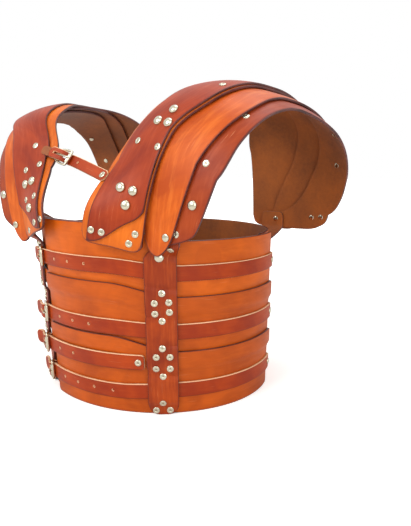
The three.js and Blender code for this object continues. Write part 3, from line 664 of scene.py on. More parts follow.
@dataclass
class HideCut:
    """A flat piece of hide and the surface that it is bent to."""

    name: str
    place: Place
    rows: int
    columns: int
    thickness: float
    grain: Finish
    edge: Finish = Finish.BURNISHED
    flesh: Finish = Finish.FLESH
    corners: tuple[float, float, float, float] = (0.0, 0.0, 0.0, 0.0)
    length: float = 100.0
    width: float = 100.0
    edge_round: float = 0.45

    def rounded(self, u: float, v: float) -> tuple[float, float]:
        """Pull the grid's square corners in to round ones.

        Args:
            u: Place along the piece, from 0 to 1.
            v: Place across it, from 0 to 1.

        Returns:
            The place of the same grid point on the piece with round corners.
        """
        for index, radius in enumerate(self.corners):
            if radius <= 0:
                continue
            far_u, far_v = index in (2, 3), index in (1, 3)
            along = ((1 - u) if far_u else u) * self.length
            across = ((1 - v) if far_v else v) * self.width
            if along < radius and across < radius:
                x, y = radius - along, radius - across
                reach = math.hypot(x, y)
                scale = max(x, y) / reach if reach > 0 else 1.0
                along, across = radius - x * scale, radius - y * scale
                u = 1 - along / self.length if far_u else along / self.length
                v = 1 - across / self.width if far_v else across / self.width
        return u, v

    def build(self, cutters: Sequence[bpy.types.Object] = ()) -> bpy.types.Object:
        """Bend a grid to the surface, give it thickness and round its cut edges.

        Args:
            cutters: Objects that are cut out of it, such as punches for holes.

        Returns:
            The finished piece.
        """
        piece = fresh(
            bpy.ops.mesh.primitive_grid_add, x_subdivisions=self.rows, y_subdivisions=self.columns, size=2.0
        )
        piece.name = self.name
        piece.data.name = self.name
        self.bend(piece)
        for finish in (self.grain, self.flesh, self.edge):
            piece.data.materials.append(Wardrobe.get(finish))
        finish_with(
            piece, "SOLIDIFY", thickness=self.thickness * MM, offset=-1.0, use_even_offset=True,
            use_quality_normals=True, use_rim=True, material_offset=1, material_offset_rim=2,
        )
        finish_with(
            piece, "BEVEL", width=self.edge_round * MM, segments=2, limit_method="ANGLE",
            angle_limit=CUT_ANGLE, material=-1,
        )
        for cutter in cutters:
            finish_with(piece, "BOOLEAN", operation="DIFFERENCE", object=cutter, solver="EXACT")
            bpy.data.objects.remove(cutter, do_unlink=True)
        make_active(piece)
        bpy.ops.object.shade_smooth_by_angle(angle=HIDE_ANGLE)
        return piece

    def bend(self, piece: bpy.types.Object) -> None:
        """Bend the grid, with true lengths in its UV map and its points' distances to the edges.

        Args:
            piece: The flat grid, two units on a side.
        """
        mesh = piece.data
        count = len(mesh.vertices)
        flat = np.empty(count * 3)
        mesh.vertices.foreach_get("co", flat)
        flat = flat.reshape(-1, 3)
        index_u = np.rint((flat[:, 0] + 1) / 2 * self.rows).astype(int)
        index_v = np.rint((flat[:, 1] + 1) / 2 * self.columns).astype(int)
        grid = np.zeros((self.rows + 1, self.columns + 1, 3))
        for i in range(self.rows + 1):
            for j in range(self.columns + 1):
                u, v = self.rounded(i / self.rows, j / self.columns)
                grid[i, j] = self.place(u, v, 0.0)
        along, across = running_lengths(grid, 0), running_lengths(grid, 1)
        upper = across[:, -1:] - across
        edge = np.minimum(np.minimum(along, along[-1] - along), np.minimum(across, upper))
        centred = across - across[:, -1:] / 2
        points = grid[index_u, index_v]
        points[:, 1] += SHIFT_MM
        mesh.vertices.foreach_set("co", (points * MM).ravel())
        for name, distance in (("edge", edge), ("upper", upper)):
            attribute = mesh.attributes.new(name, "FLOAT", "POINT")
            attribute.data.foreach_set("value", distance[index_u, index_v])
        uv = np.stack([along[index_u, index_v], centred[index_u, index_v]], axis=1) / GRID_UV_MM
        corner = np.empty(len(mesh.loops), dtype=np.int32)
        mesh.loops.foreach_get("vertex_index", corner)
        mesh.uv_layers[0].data.foreach_set("uv", uv[corner].ravel())
        mesh.update()
        outward = self.place(0.5, 0.5, 1.0) - self.place(0.5, 0.5, 0.0)
        spot = metres(self.place(0.5, 0.5, 0.0))
        middle = min(mesh.polygons, key=lambda face: (face.center - spot).length_squared)
        if middle.normal.dot(outward) < 0:
            make_active(piece)
            bpy.ops.object.mode_set(mode="EDIT")
            bpy.ops.mesh.select_all(action="SELECT")
            bpy.ops.mesh.flip_normals()
            bpy.ops.object.mode_set(mode="OBJECT")


@dataclass(frozen=True)
class HeadForm:
    """A rivet head's sizes, in millimetres, and how blunt it is."""

    radius: float
    height: float
    crown: float
    sides: int
    blunt: float = 0.6
    dish: float = 0.0
    steps: int = 4


class RivetKind(Enum):
    """The heads that the armour carries."""

    FLAT = HeadForm(4.5, 0.9, 0.75, 20, blunt=1.6, dish=0.3)
    DOME = HeadForm(6.2, 1.4, 3.1, 24)
    PIVOT = HeadForm(5.0, 1.1, 1.0, 24)
    BURR = HeadForm(4.0, 0.8, 0.5, 16)


class RivetBox:
    """Holds one master of each rivet, which the sets copy."""

    masters: dict[RivetKind, bpy.types.Mesh] = {}

    @classmethod
    def master(cls, kind: RivetKind) -> bpy.types.Mesh:
        """Return the mesh of a rivet head, which stands on the plane z = 0, made at the first call."""
        if kind not in cls.masters:
            cls.masters[kind] = cls.turn(kind.value)
        return cls.masters[kind]

    @classmethod
    def turn(cls, form: HeadForm) -> bpy.types.Mesh:
        """Model one rivet head: a low cylinder whose top is inset, raised and rounded.

        Args:
            form: The head's sizes.

        Returns:
            Its mesh, in metres.
        """
        piece = fresh(
            bpy.ops.mesh.primitive_cylinder_add, vertices=form.sides, radius=form.radius * MM,
            depth=form.height * MM, location=(0, 0, form.height * MM / 2), end_fill_type="NGON",
        )
        edit_face(piece, lambda face: face.center.z)
        for step in range(1, form.steps + 1):
            before, turned = (math.pi / 2 * count / (form.steps + form.blunt) for count in (step - 1, step))
            inset = form.radius * (math.cos(before) - math.cos(turned))
            bpy.ops.mesh.inset(thickness=inset * MM, depth=0)
            rise = form.crown * (math.sin(turned) - math.sin(before))
            bpy.ops.transform.translate(value=(0, 0, rise * MM))
        piece.data.materials.append(Wardrobe.get(Finish.NICKEL))
        piece.data.materials.append(Wardrobe.get(Finish.TARNISHED))
        # The dished centre gets the darker metal: painted shade in the recess.
        if form.dish > 0:
            bpy.ops.mesh.inset(thickness=form.dish * MM, depth=-form.dish * MM)
            piece.active_material_index = 1
            bpy.ops.object.material_slot_assign()
        bpy.ops.object.mode_set(mode="OBJECT")
        make_active(piece)
        bpy.ops.object.transform_apply(location=True, rotation=True, scale=True)
        bpy.ops.object.shade_smooth_by_angle(angle=METAL_ANGLE)
        mesh = piece.data.copy()
        bpy.data.objects.remove(piece, do_unlink=True)
        return mesh


@dataclass
class RivetSet:
    """Rivets that sit on one piece and ride with it."""

    name: str
    spots: list[tuple[RivetKind, Vector, Vector, float]] = field(default_factory=list)
    reach: tuple[float, float] = (0.01, 0.05)
    spin: float = 0.7

    def add(self, kind: RivetKind, point: Vector, outward: Vector, size: float = 1.0) -> None:
        """Note a rivet at a point of the armour in millimetres, standing along outward."""
        self.spots.append((kind, point, outward, size))

    def add_on(self, place: Place, u: float, v: float, kind: RivetKind, size: float = 1.0) -> None:
        """Note a rivet on a piece of hide.

        Args:
            place: The hide's surface.
            u: Place along it.
            v: Place across it.
            kind: Which head.
            size: Its size against the master.
        """
        point, out = place(u, v, 0.0), place(u, v, 1.0) - place(u, v, 0.0)
        step_u, step_v = self.reach
        along = place(u + step_u, v, 0.0) - place(u - step_u, v, 0.0)
        across = place(u, v + step_v, 0.0) - place(u, v - step_v, 0.0)
        normal = along.cross(across).normalized()
        self.add(kind, point, normal if normal.dot(out) > 0 else -normal, size)

    def build(self) -> bpy.types.Object:
        """Copy the masters to their places and join them."""
        copies = []
        for index, (kind, point, outward, size) in enumerate(self.spots):
            mesh = RivetBox.master(kind).copy()
            turn = turned_to(outward) @ Matrix.Rotation(index * self.spin, 4, "Z")
            mesh.transform(Matrix.Translation(metres(point)) @ turn @ Matrix.Scale(size, 4))
            copy = bpy.data.objects.new(f"{self.name}_{index}", mesh)
            bpy.context.scene.collection.objects.link(copy)
            copies.append(copy)
        return join(self.name, copies)


def wire(
    name: str, points: Sequence[Vector], radius: float, closed: bool, ends: Sequence[float] = ()
) -> bpy.types.Object:
    """Bend a round wire along points of the armour, and turn it into a mesh.

    Args:
        name: The piece's name.
        points: The wire's centre line, in millimetres.
        radius: The wire's radius, in millimetres.
        closed: Whether its ends meet.
        ends: How thick it is at each point, as a share of the radius.

    Returns:
        The wire as a mesh object.
    """
    piece = fresh(bpy.ops.curve.primitive_nurbs_path_add)
    curve = piece.data
    curve.splines.clear()
    spline = curve.splines.new("POLY")
    spline.points.add(len(points) - 1)
    for index, point in enumerate(points):
        spline.points[index].co = (*metres(point), 1.0)
        spline.points[index].radius = ends[index] if ends else 1.0
    spline.use_cyclic_u = closed
    curve.bevel_depth = radius * MM
    curve.bevel_resolution = WIRE_ROUND
    curve.use_fill_caps = True
    make_active(piece)
    bpy.ops.object.convert(target="MESH")
    piece = bpy.context.object
    piece.name = name
    piece.data.name = name
    piece.data.materials.clear()
    piece.data.materials.append(Wardrobe.get(Finish.NICKEL))
    bpy.ops.object.mode_set(mode="EDIT")
    bpy.ops.mesh.select_all(action="SELECT")
    bpy.ops.mesh.remove_doubles(threshold=WELD)
    bpy.ops.mesh.normals_make_consistent(inside=False)
    bpy.ops.object.mode_set(mode="OBJECT")
    bpy.ops.object.transform_apply(location=True, rotation=True, scale=True)
    bpy.ops.object.shade_smooth_by_angle(angle=METAL_ANGLE)
    return piece


# The armour's forms


@dataclass(frozen=True)
class StrapRow:
    """One girdle strap's height and run, its holes, its tail's curl and its rivets."""

    name: str
    height: float
    rise: float
    lift: float
    to: float
    holes: int
    curl: float
    rivets: tuple[float, ...] = (8.0, 22.0)


@dataclass(frozen=True)
class GirdleForm:
    """The girdle's surface: an oval that narrows a little towards its foot."""

    height: float = 235.0
    top_half_width: float = 195.0
    top_half_depth: float = 160.0
    foot_half_width: float = 187.0
    foot_half_depth: float = 154.0
    lame_thickness: float = 3.2
    lame_gap: float = 0.4
    overlap: float = 20.0
    ramp: float = 10.0
    tops: tuple[float, float, float] = (235.0, 162.15, 88.125)
    rises: tuple[float, float, float] = (22.0, 18.0, 20.0)
    strap_width: float = 21.0
    strap_thickness: float = 2.6
    upright_width: float = 40.0
    upright_thickness: float = 3.0
    cover_margin: float = 6.0
    upright_gap: float = 0.8
    front_fall: tuple[float, float] = (46.0, 14.0)
    right_rise: tuple[float, float] = (-85.0, -50.0)

    @property
    def layer(self) -> float:
        """How far a lame steps out over the one below it."""
        return self.lame_thickness + self.lame_gap

    @property
    def inner_offset(self) -> float:
        """How far out the inner panel lies, against the outer one."""
        return -2 * self.layer

    def point(self, angle: float, height: float, out: float) -> Vector:
        """Return the point at an angle from the front, a height and a distance out."""
        share = height / self.height
        half_width = mix(self.foot_half_width, self.top_half_width, share)
        half_depth = mix(self.foot_half_depth, self.top_half_depth, share)
        sine, cosine = math.sin(math.radians(angle)), math.cos(math.radians(angle))
        normal = Vector((sine / half_width, -cosine / half_depth)).normalized()
        return Vector((half_width * sine + normal.x * out, -half_depth * cosine + normal.y * out, height))

    def rise_share(self, angle: float) -> float:
        """Return how far the edges are raised at an angle: fully in front and on the wearer's right."""
        turned = angle - 360 if angle > 180 else angle
        return smooth(*(self.front_fall if turned > 0 else self.right_rise), turned)

    def lame_top(self, lame: int, angle: float) -> float:
        """Return the height of a lame's top edge at an angle."""
        return self.tops[lame] + self.rises[lame] * self.rise_share(angle)

    def lame_foot(self, lame: int, angle: float) -> float:
        """Return the height of a lame's lower edge at an angle."""
        return 0.0 if lame == 2 else self.lame_top(lame + 1, angle) - self.overlap + self.lame_gap

    def lap(self, lame: int, angle: float, height: float) -> float:
        """Return how far a lame is stepped out over the one above it."""
        if lame == 0:
            return 0.0
        top = self.lame_top(lame, angle)
        return self.layer * smooth(top - self.overlap - self.ramp, top - self.overlap, height)

    def arc_per_degree(self, angle: float, height: float) -> float:
        """Return the length of a degree round the girdle, in millimetres."""
        return (self.point(angle + 0.5, height, 0) - self.point(angle - 0.5, height, 0)).length

    def strap_height(self, row: StrapRow, angle: float) -> float:
        """Return the height of a strap's middle at an angle."""
        return row.height + row.rise * self.rise_share(angle)

    def strap_cover(self, row: StrapRow, angle: float, height: float) -> float:
        """Return how far an upright strap is raised by a girdle strap under it."""
        away = abs(height - self.strap_height(row, angle)) - self.strap_width / 2
        full = self.strap_thickness + self.lame_gap
        return full * (1 - smooth(self.cover_margin / 2, self.cover_margin / 2 + self.ramp, away))

    def lap_cover(self, lame: int, angle: float, height: float) -> float:
        """Return how far an upright strap is raised by a lame's lap under it."""
        top = self.lame_top(lame, angle)
        start = top - self.overlap - self.cover_margin
        climb = smooth(start - self.ramp, start, height)
        end = top + self.cover_margin / 2
        return self.layer * min(climb, 1 - smooth(end, end + self.ramp, height))

    def upright_base(self, angle: float, height: float, on_outer: bool) -> float:
        """Return how far out an upright strap's inner face lies."""
        laps = max(self.lap_cover(1, angle, height), self.lap_cover(2, angle, height))
        if not on_outer:
            return self.inner_offset + laps + self.upright_gap
        covers = [self.strap_cover(row, angle, height) for row in STRAP_ROWS if row.lift == 0]
        return max(laps, *covers) + self.upright_gap


STRAP_ROWS = (
    StrapRow("first", 193.5, 9.0, 0.0, 110.0, 3, 2.0),
    StrapRow("second", 115.5, 5.0, 0.0, 110.0, 3, 4.0),
    StrapRow("third", 74.5, 0.0, 3.6, 30.0, 2, 8.0, (8.0,)),
    StrapRow("fourth", 34.5, -4.0, 0.0, 110.0, 4, 3.0),
)


class Run:
    """A smooth curve through points, read by its length."""

    def __init__(self, points: Sequence[Sequence[float]], fine: int = 48) -> None:
        """Sample the centripetal curve through the points.

        Args:
            points: The points that the curve goes through.
            fine: How many samples each stretch gets.
        """
        given = [np.array(point, dtype=float) for point in points]
        held = [2 * given[0] - given[1], *given, 2 * given[-1] - given[-2]]
        samples = [given[0]]
        for index in range(1, len(held) - 2):
            samples.extend(self.stretch(held[index - 1 : index + 3], fine))
        self.samples = np.array(samples)
        self.lengths = running_lengths(self.samples)
        self.length = float(self.lengths[-1])

    @staticmethod
    def stretch(held: Sequence[np.ndarray], fine: int) -> list[np.ndarray]:
        """Sample one stretch, from the second to the third of four points.

        Args:
            held: The four points.
            fine: How many samples.

        Returns:
            The samples after the stretch's own start.
        """
        before, start, end, after = held
        gaps = [max(1e-4, math.sqrt(float(np.linalg.norm(b - a)))) for a, b in zip(held, held[1:])]
        leaving = (start - before) / gaps[0] - (end - before) / (gaps[0] + gaps[1]) + (end - start) / gaps[1]
        arriving = (end - start) / gaps[1] - (after - start) / (gaps[1] + gaps[2]) + (after - end) / gaps[2]
        leaving, arriving = leaving * gaps[1], arriving * gaps[1]
        return [cubic(start, end, leaving, arriving, step / fine) for step in range(1, fine + 1)]

    def at(self, share: float) -> np.ndarray:
        """Return the point at a share of the curve's length."""
        where = min(1.0, max(0.0, share)) * self.length
        return np.array([np.interp(where, self.lengths, column) for column in self.samples.T])

    def heading(self, share: float) -> np.ndarray:
        """Return the unit direction of the curve at a share of its length."""
        step = 0.002
        low, high = max(0.0, share - step), min(1.0, share + step)
        along = self.at(high) - self.at(low)
        return along / np.linalg.norm(along)


@dataclass(frozen=True)
class LameEnd:
    """How one end of a lame narrows: two bent sides and the low edge, as shares of the crown."""

    via: tuple[tuple[float, float], tuple[float, float]]
    low: tuple[tuple[float, float], ...]
    downs: tuple[float, ...] = (1.0, 1.0)

    @functools.cached_property
    def low_run(self) -> Run:
        """The curve of the low edge."""
        return Run([(across, up, 0.0) for across, up in self.low])


@dataclass(frozen=True)
class LameCut:
    """One lame of a guard: its layer, its place on the arch and its two ends."""

    name: str
    layer: int
    depth: float
    thickness: float
    ring: int
    inner: tuple[float, ...]
    outer: tuple[float, ...]
    front: LameEnd
    back: LameEnd
    grain: Finish
    slot: str = "hide_orange"
    flared: bool = False
    widths: tuple[float, float] = (0.0, 1.0)
    rows: int = 96
    columns: int = 18


@dataclass(frozen=True)
class GuardForm:
    """A shoulder guard's surface: an arch turned about the level pivot line."""

    side: int
    crown: float
    power: float
    back_power: float
    swings: tuple[float, float, float] = (0.0, 0.0, 0.0)
    pivot_offset: float = 142.0
    pivot_height: float = 243.0
    front_reach: float = 169.0
    back_reach: float = 139.0
    crown_back: float = 21.0
    arch_steps: int = 24
    end_rows: int = 4
    row_power: float = 1.3
    flare_slope: float = 0.54
    flare_start: float = 31.0
    flare_soft: float = 12.0
    flare_fade: tuple[float, float] = (24.48, 122.4)
    turn_samples: int = 2001

    def half(self, front: bool, depth: float) -> tuple[float, float]:
        """Return how far the surface reaches in front or behind at a depth, and the power of its curve."""
        if front:
            return depth - self.front_reach, self.power
        return self.back_reach - depth, self.back_power

    def arch(self, turn: float, depth: float) -> tuple[float, float]:
        """Return the arch's radius and its place front to back at a turn and a depth."""
        reach, power = self.half(turn < math.pi / 2, depth)
        radius = (self.crown - depth) * max(0.0, math.sin(turn)) ** (2 / power)
        return radius, self.crown_back + reach * abs(math.cos(turn)) ** (2 / power)

    @functools.cached_property
    def turns(self) -> np.ndarray:
        """The turns that split the arch into runs of equal length."""
        fine = np.linspace(0.0, math.pi, self.turn_samples)
        lengths = running_lengths(np.array([self.arch(turn, 0.0) for turn in fine]))
        goals = np.linspace(0.0, lengths[-1], self.arch_steps + 1)
        return np.interp(goals, lengths, fine)

    def plane(self, across: float, up: float, depth: float, front: bool) -> float:
        """Return the surface's place front to back over a point of the plane across the pivot line."""
        reach, power = self.half(front, depth)
        level = 1 - (math.hypot(across, up) / (self.crown - depth)) ** power
        return self.crown_back + reach * max(0.0, level) ** (1 / power)

    def flare(self, across: float, up: float) -> float:
        """Return how far the base swings forward, round the chest, towards its neck edge."""
        reach = -across - self.flare_start
        low = 1 - smooth(*self.flare_fade, up)
        return self.flare_slope * (reach + math.hypot(reach, self.flare_soft)) / 2 * low

    def world(self, across: float, up: float, y: float) -> Vector:
        """Turn a place of the guard into a point of the armour, in millimetres."""
        return Vector((self.side * (self.pivot_offset + across), y, self.pivot_height + up))

    def end_spot(
        self, cut: LameCut, front: bool, down: float, wide: float, depth: float
    ) -> tuple[float, float]:
        """Find a place in the patch between the arch's last ring and a low edge.

        Args:
            cut: The lame.
            front: Whether it is the front end.
            down: How far down the patch, from 0 at the ring to 1 at the low edge.
            wide: How far across, from 0 at the neck's edge to 1 at the outer one.
            depth: How deep the surface lies.

        Returns:
            How far the place is across and up from the pivot.
        """
        end = cut.front if front else cut.back
        ring = cut.ring if front else self.arch_steps - cut.ring
        radius = self.arch(float(self.turns[ring]), depth)[0]
        share = 0.0 if front else 1.0
        angles = through(cut.inner, share), through(cut.outer, share)
        scale = self.crown

        def ring_spot(place: float) -> np.ndarray:
            """Return the ring's place at a share across."""
            angle = math.radians(mix(*angles, place))
            return np.array((radius * math.sin(angle), radius * math.cos(angle)))

        def low_spot(place: float) -> np.ndarray:
            """Return the low edge's place at a share across."""
            return end.low_run.at(place)[:2] * scale

        def bent(place: float, via: tuple[float, float]) -> np.ndarray:
            """Return the place on one bent side."""
            away = 1 - down
            middle = np.array(via) * scale
            return away * away * ring_spot(place) + 2 * away * down * middle + down * down * low_spot(place)

        straight = [mix(ring_spot(place), low_spot(place), down) for place in (0.0, 1.0)]
        left, right = bent(0.0, end.via[0]), bent(1.0, end.via[1])
        spot = mix(ring_spot(wide), low_spot(wide), down) + mix(left, right, wide) - mix(*straight, wide)
        return float(spot[0]), float(spot[1])

    def place(self, cut: LameCut, u: float, v: float, out: float) -> Vector:
        """Return a point of a lame.

        Args:
            cut: The lame.
            u: Place along it, from 0 at the front's low edge to 1 at the back's.
            v: Place across it, from 0 at the neck's edge to 1 at the outer one.
            out: How far outside its outer face.

        Returns:
            The point in millimetres.
        """
        depth = cut.depth - out
        wide = mix(*cut.widths, v)
        arch_rings = self.arch_steps - 2 * cut.ring
        run = u * (2 * self.end_rows + arch_rings)
        if run < self.end_rows or run > self.end_rows + arch_rings:
            front = run < self.end_rows
            left = (self.end_rows - run) if front else run - self.end_rows - arch_rings
            end = cut.front if front else cut.back
            down = (left / self.end_rows) ** self.row_power * through(end.downs, v)
            across, up = self.end_spot(cut, front, down, wide, depth)
            y = self.plane(across, up, depth, front)
        else:
            ring = cut.ring + run - self.end_rows
            turn = float(np.interp(ring, np.arange(self.arch_steps + 1), self.turns))
            share = (run - self.end_rows) / arch_rings
            radius, y = self.arch(turn, depth)
            angle = math.radians(mix(through(cut.inner, share), through(cut.outer, share), wide))
            across, up = radius * math.sin(angle), radius * math.cos(angle)
        across, up = self.swung(cut, across, up)
        if cut.flared and y < self.crown_back:
            y -= self.flare(across, up)
        return self.world(across, up, y)

    def swung(self, cut: LameCut, across: float, up: float) -> tuple[float, float]:
        """Turn a place about the pivot line, to nest the lame's layer further in or out."""
        swing = math.radians(self.swings[cut.layer])
        sine, cosine = math.sin(swing), math.cos(swing)
        return across * cosine + up * sine, up * cosine - across * sine

    def seat(self, cut: LameCut, across: float, up: float, front: bool) -> tuple[Vector, Vector]:
        """Return the point on a lame's outer face and its outward direction.

        Args:
            cut: The lame.
            across: How far out from the pivot.
            up: How far up from it.
            front: Whether the place is in front.

        Returns:
            The point in millimetres and the direction.
        """

        def spot(sideways: float, rising: float) -> Vector:
            """Return the outer face's point beside the place."""
            a, b = across + sideways, up + rising
            y = self.plane(a, b, cut.depth, front)
            if cut.flared:
                return self.world(a, b, y - self.flare(a, b) if front else y)
            return self.world(*self.swung(cut, a, b), y)

        normal = (spot(0.5, 0) - spot(-0.5, 0)).cross(spot(0, 0.5) - spot(0, -0.5)).normalized()
        if normal.y * (-1 if front else 1) < 0:
            normal = -normal
        return spot(0, 0), normal


BASE_FRONT = LameEnd(
    via=((-0.51, 0.32), (-0.1, 0.36)),
    low=((-0.55, 0.03), (-0.53, -0.03), (-0.36, -0.07), (-0.2, -0.1), (-0.165, -0.07)),
)
BASE_BACK = LameEnd(
    via=((-0.26, 0.3), (0.22, 0.3)),
    low=((-0.26, 0.02), (-0.23, -0.05), (0.0, -0.09), (0.13, -0.08), (0.16, -0.03)),
)
BASE_INNER = (-50.0, -25.0, -15.5, -7.5, -4.0, -7.0, -14.5, -25.0)
BASE_OUTER = (-1.0, 10.5, 14.6, 15.3, 15.8, 17.5, 24.5, 30.0)
BASE = LameCut(
    "lame_1", 0, 0.0, 3.2, 5, BASE_INNER, BASE_OUTER, BASE_FRONT, BASE_BACK, Finish.BASE,
    flared=True, columns=22,
)
OVERLAY = LameCut(
    "overlay", 0, -3.0, 2.6, 5, BASE_INNER, BASE_OUTER,
    LameEnd(BASE_FRONT.via, BASE_FRONT.low, (0.985, 0.965, 0.91, 0.83, 0.77, 0.72)),
    LameEnd(BASE_BACK.via, BASE_BACK.low, (0.82, 0.82, 0.8, 0.77, 0.74, 0.72)),
    Finish.OVERLAY, "hide_russet", flared=True, widths=(0.2, 0.975),
)
SECOND_LAME = LameCut(
    "lame_2", 1, 4.2, 3.2, 4,
    (-20.0, -8.0, 0.0, 2.5, 3.5, 6.5, 11.5, 17.5, 17.0),
    (24.0, 26.0, 27.8, 27.0, 26.0, 28.0, 36.0, 47.5, 58.0),
    LameEnd(
        via=((-0.17, 0.2), (0.13, 0.2)),
        low=((-0.17, -0.03), (-0.13, -0.1), (-0.08, -0.125), (-0.02, -0.09), (0.035, -0.02)),
    ),
    LameEnd(
        via=((-0.02, 0.2), (0.36, 0.08)),
        low=((-0.06, 0.02), (-0.03, -0.06), (0.12, -0.08), (0.27, -0.07), (0.33, -0.02)),
    ),
    Finish.GUARD,
)
THIRD_LAME = LameCut(
    "lame_3", 2, 8.4, 3.2, 4,
    (-4.0, 6.5, 9.5, 11.0, 11.5, 17.0, 27.0, 36.0, 42.0),
    (43.0, 36.8, 34.3, 33.4, 33.0, 40.0, 49.0, 64.5, 84.0),
    LameEnd(
        via=((-0.06, 0.2), (0.28, 0.2)),
        low=((-0.07, 0.02), (-0.04, -0.05), (0.07, -0.035), (0.18, 0.01), (0.225, 0.08)),
    ),
    LameEnd(
        via=((0.2, 0.06), (0.46, -0.02)),
        low=((-0.06, 0.04), (-0.04, -0.05), (0.15, -0.075), (0.34, -0.07), (0.41, -0.04)),
    ),
    Finish.OUTER_LAME, "hide_russet",
)

LEFT_FORM = GuardForm(1, 198.0, 2.58, 3.3)
RIGHT_FORM = GuardForm(-1, 186.0, 2.85, 2.85, (6.0, -5.0, -10.0))
# The crown and the two powers of the surface under the chest strap, which is the CAD's own.
STRAP_SEAT = (204.0, 2.5, 2.5)
# How far in front of and behind the armour's middle the pivot rivets stand on the guards.
PIVOT_AT = (148.0, 160.0)
# How far inside that the uprights' tabs lie: the lames' depth and a gap.
TAB_DEPTH = THIRD_LAME.depth + THIRD_LAME.thickness + 0.9


@dataclass(frozen=True)
class BuckleForm:
    """A roller buckle's sizes, in millimetres."""

    wire: float = 1.6
    length: float = 21.0
    spare: float = 2.6
    roller_wall: float = 0.9
    running_gap: float = 0.5
    eye_gap: float = 0.75
    tongue_width: float = 2.6
    tongue_depth: float = 2.2
    chape_thickness: float = 1.8
    chape_width: float = 13.0
    fold_gap: float = 0.8
    seat_gap: float = 0.3
    bow_power: float = 3.0
    bow_steps: int = 28
    roller_sides: int = 36
    roller_round: float = 0.22
    roller_smooth: float = 40.0
    tongue_slot: float = 0.87
    eye_turn: float = 285.0
    eye_wire: float = 0.75
    arm_share: float = 0.72
    eye_share: float = 0.68
    fold_grid: tuple[int, int] = (72, 6)
    fold_corners: tuple[float, float, float, float] = (4.0, 4.0, 4.0, 4.0)

    @property
    def roller(self) -> float:
        """The roller's radius."""
        return self.wire + self.running_gap + self.roller_wall

    @property
    def loop(self) -> float:
        """The radius that clears the wire."""
        return self.wire + self.running_gap

    def half_height(self, width: float) -> float:
        """Return half the frame's height for a strap's width."""
        return width / 2 + self.spare

    def bow(self, share: float) -> float:
        """Return how far along the bow is at a share of its half height."""
        return self.length * max(0.0, 1 - share**self.bow_power) ** (1 / self.bow_power)


# The studio


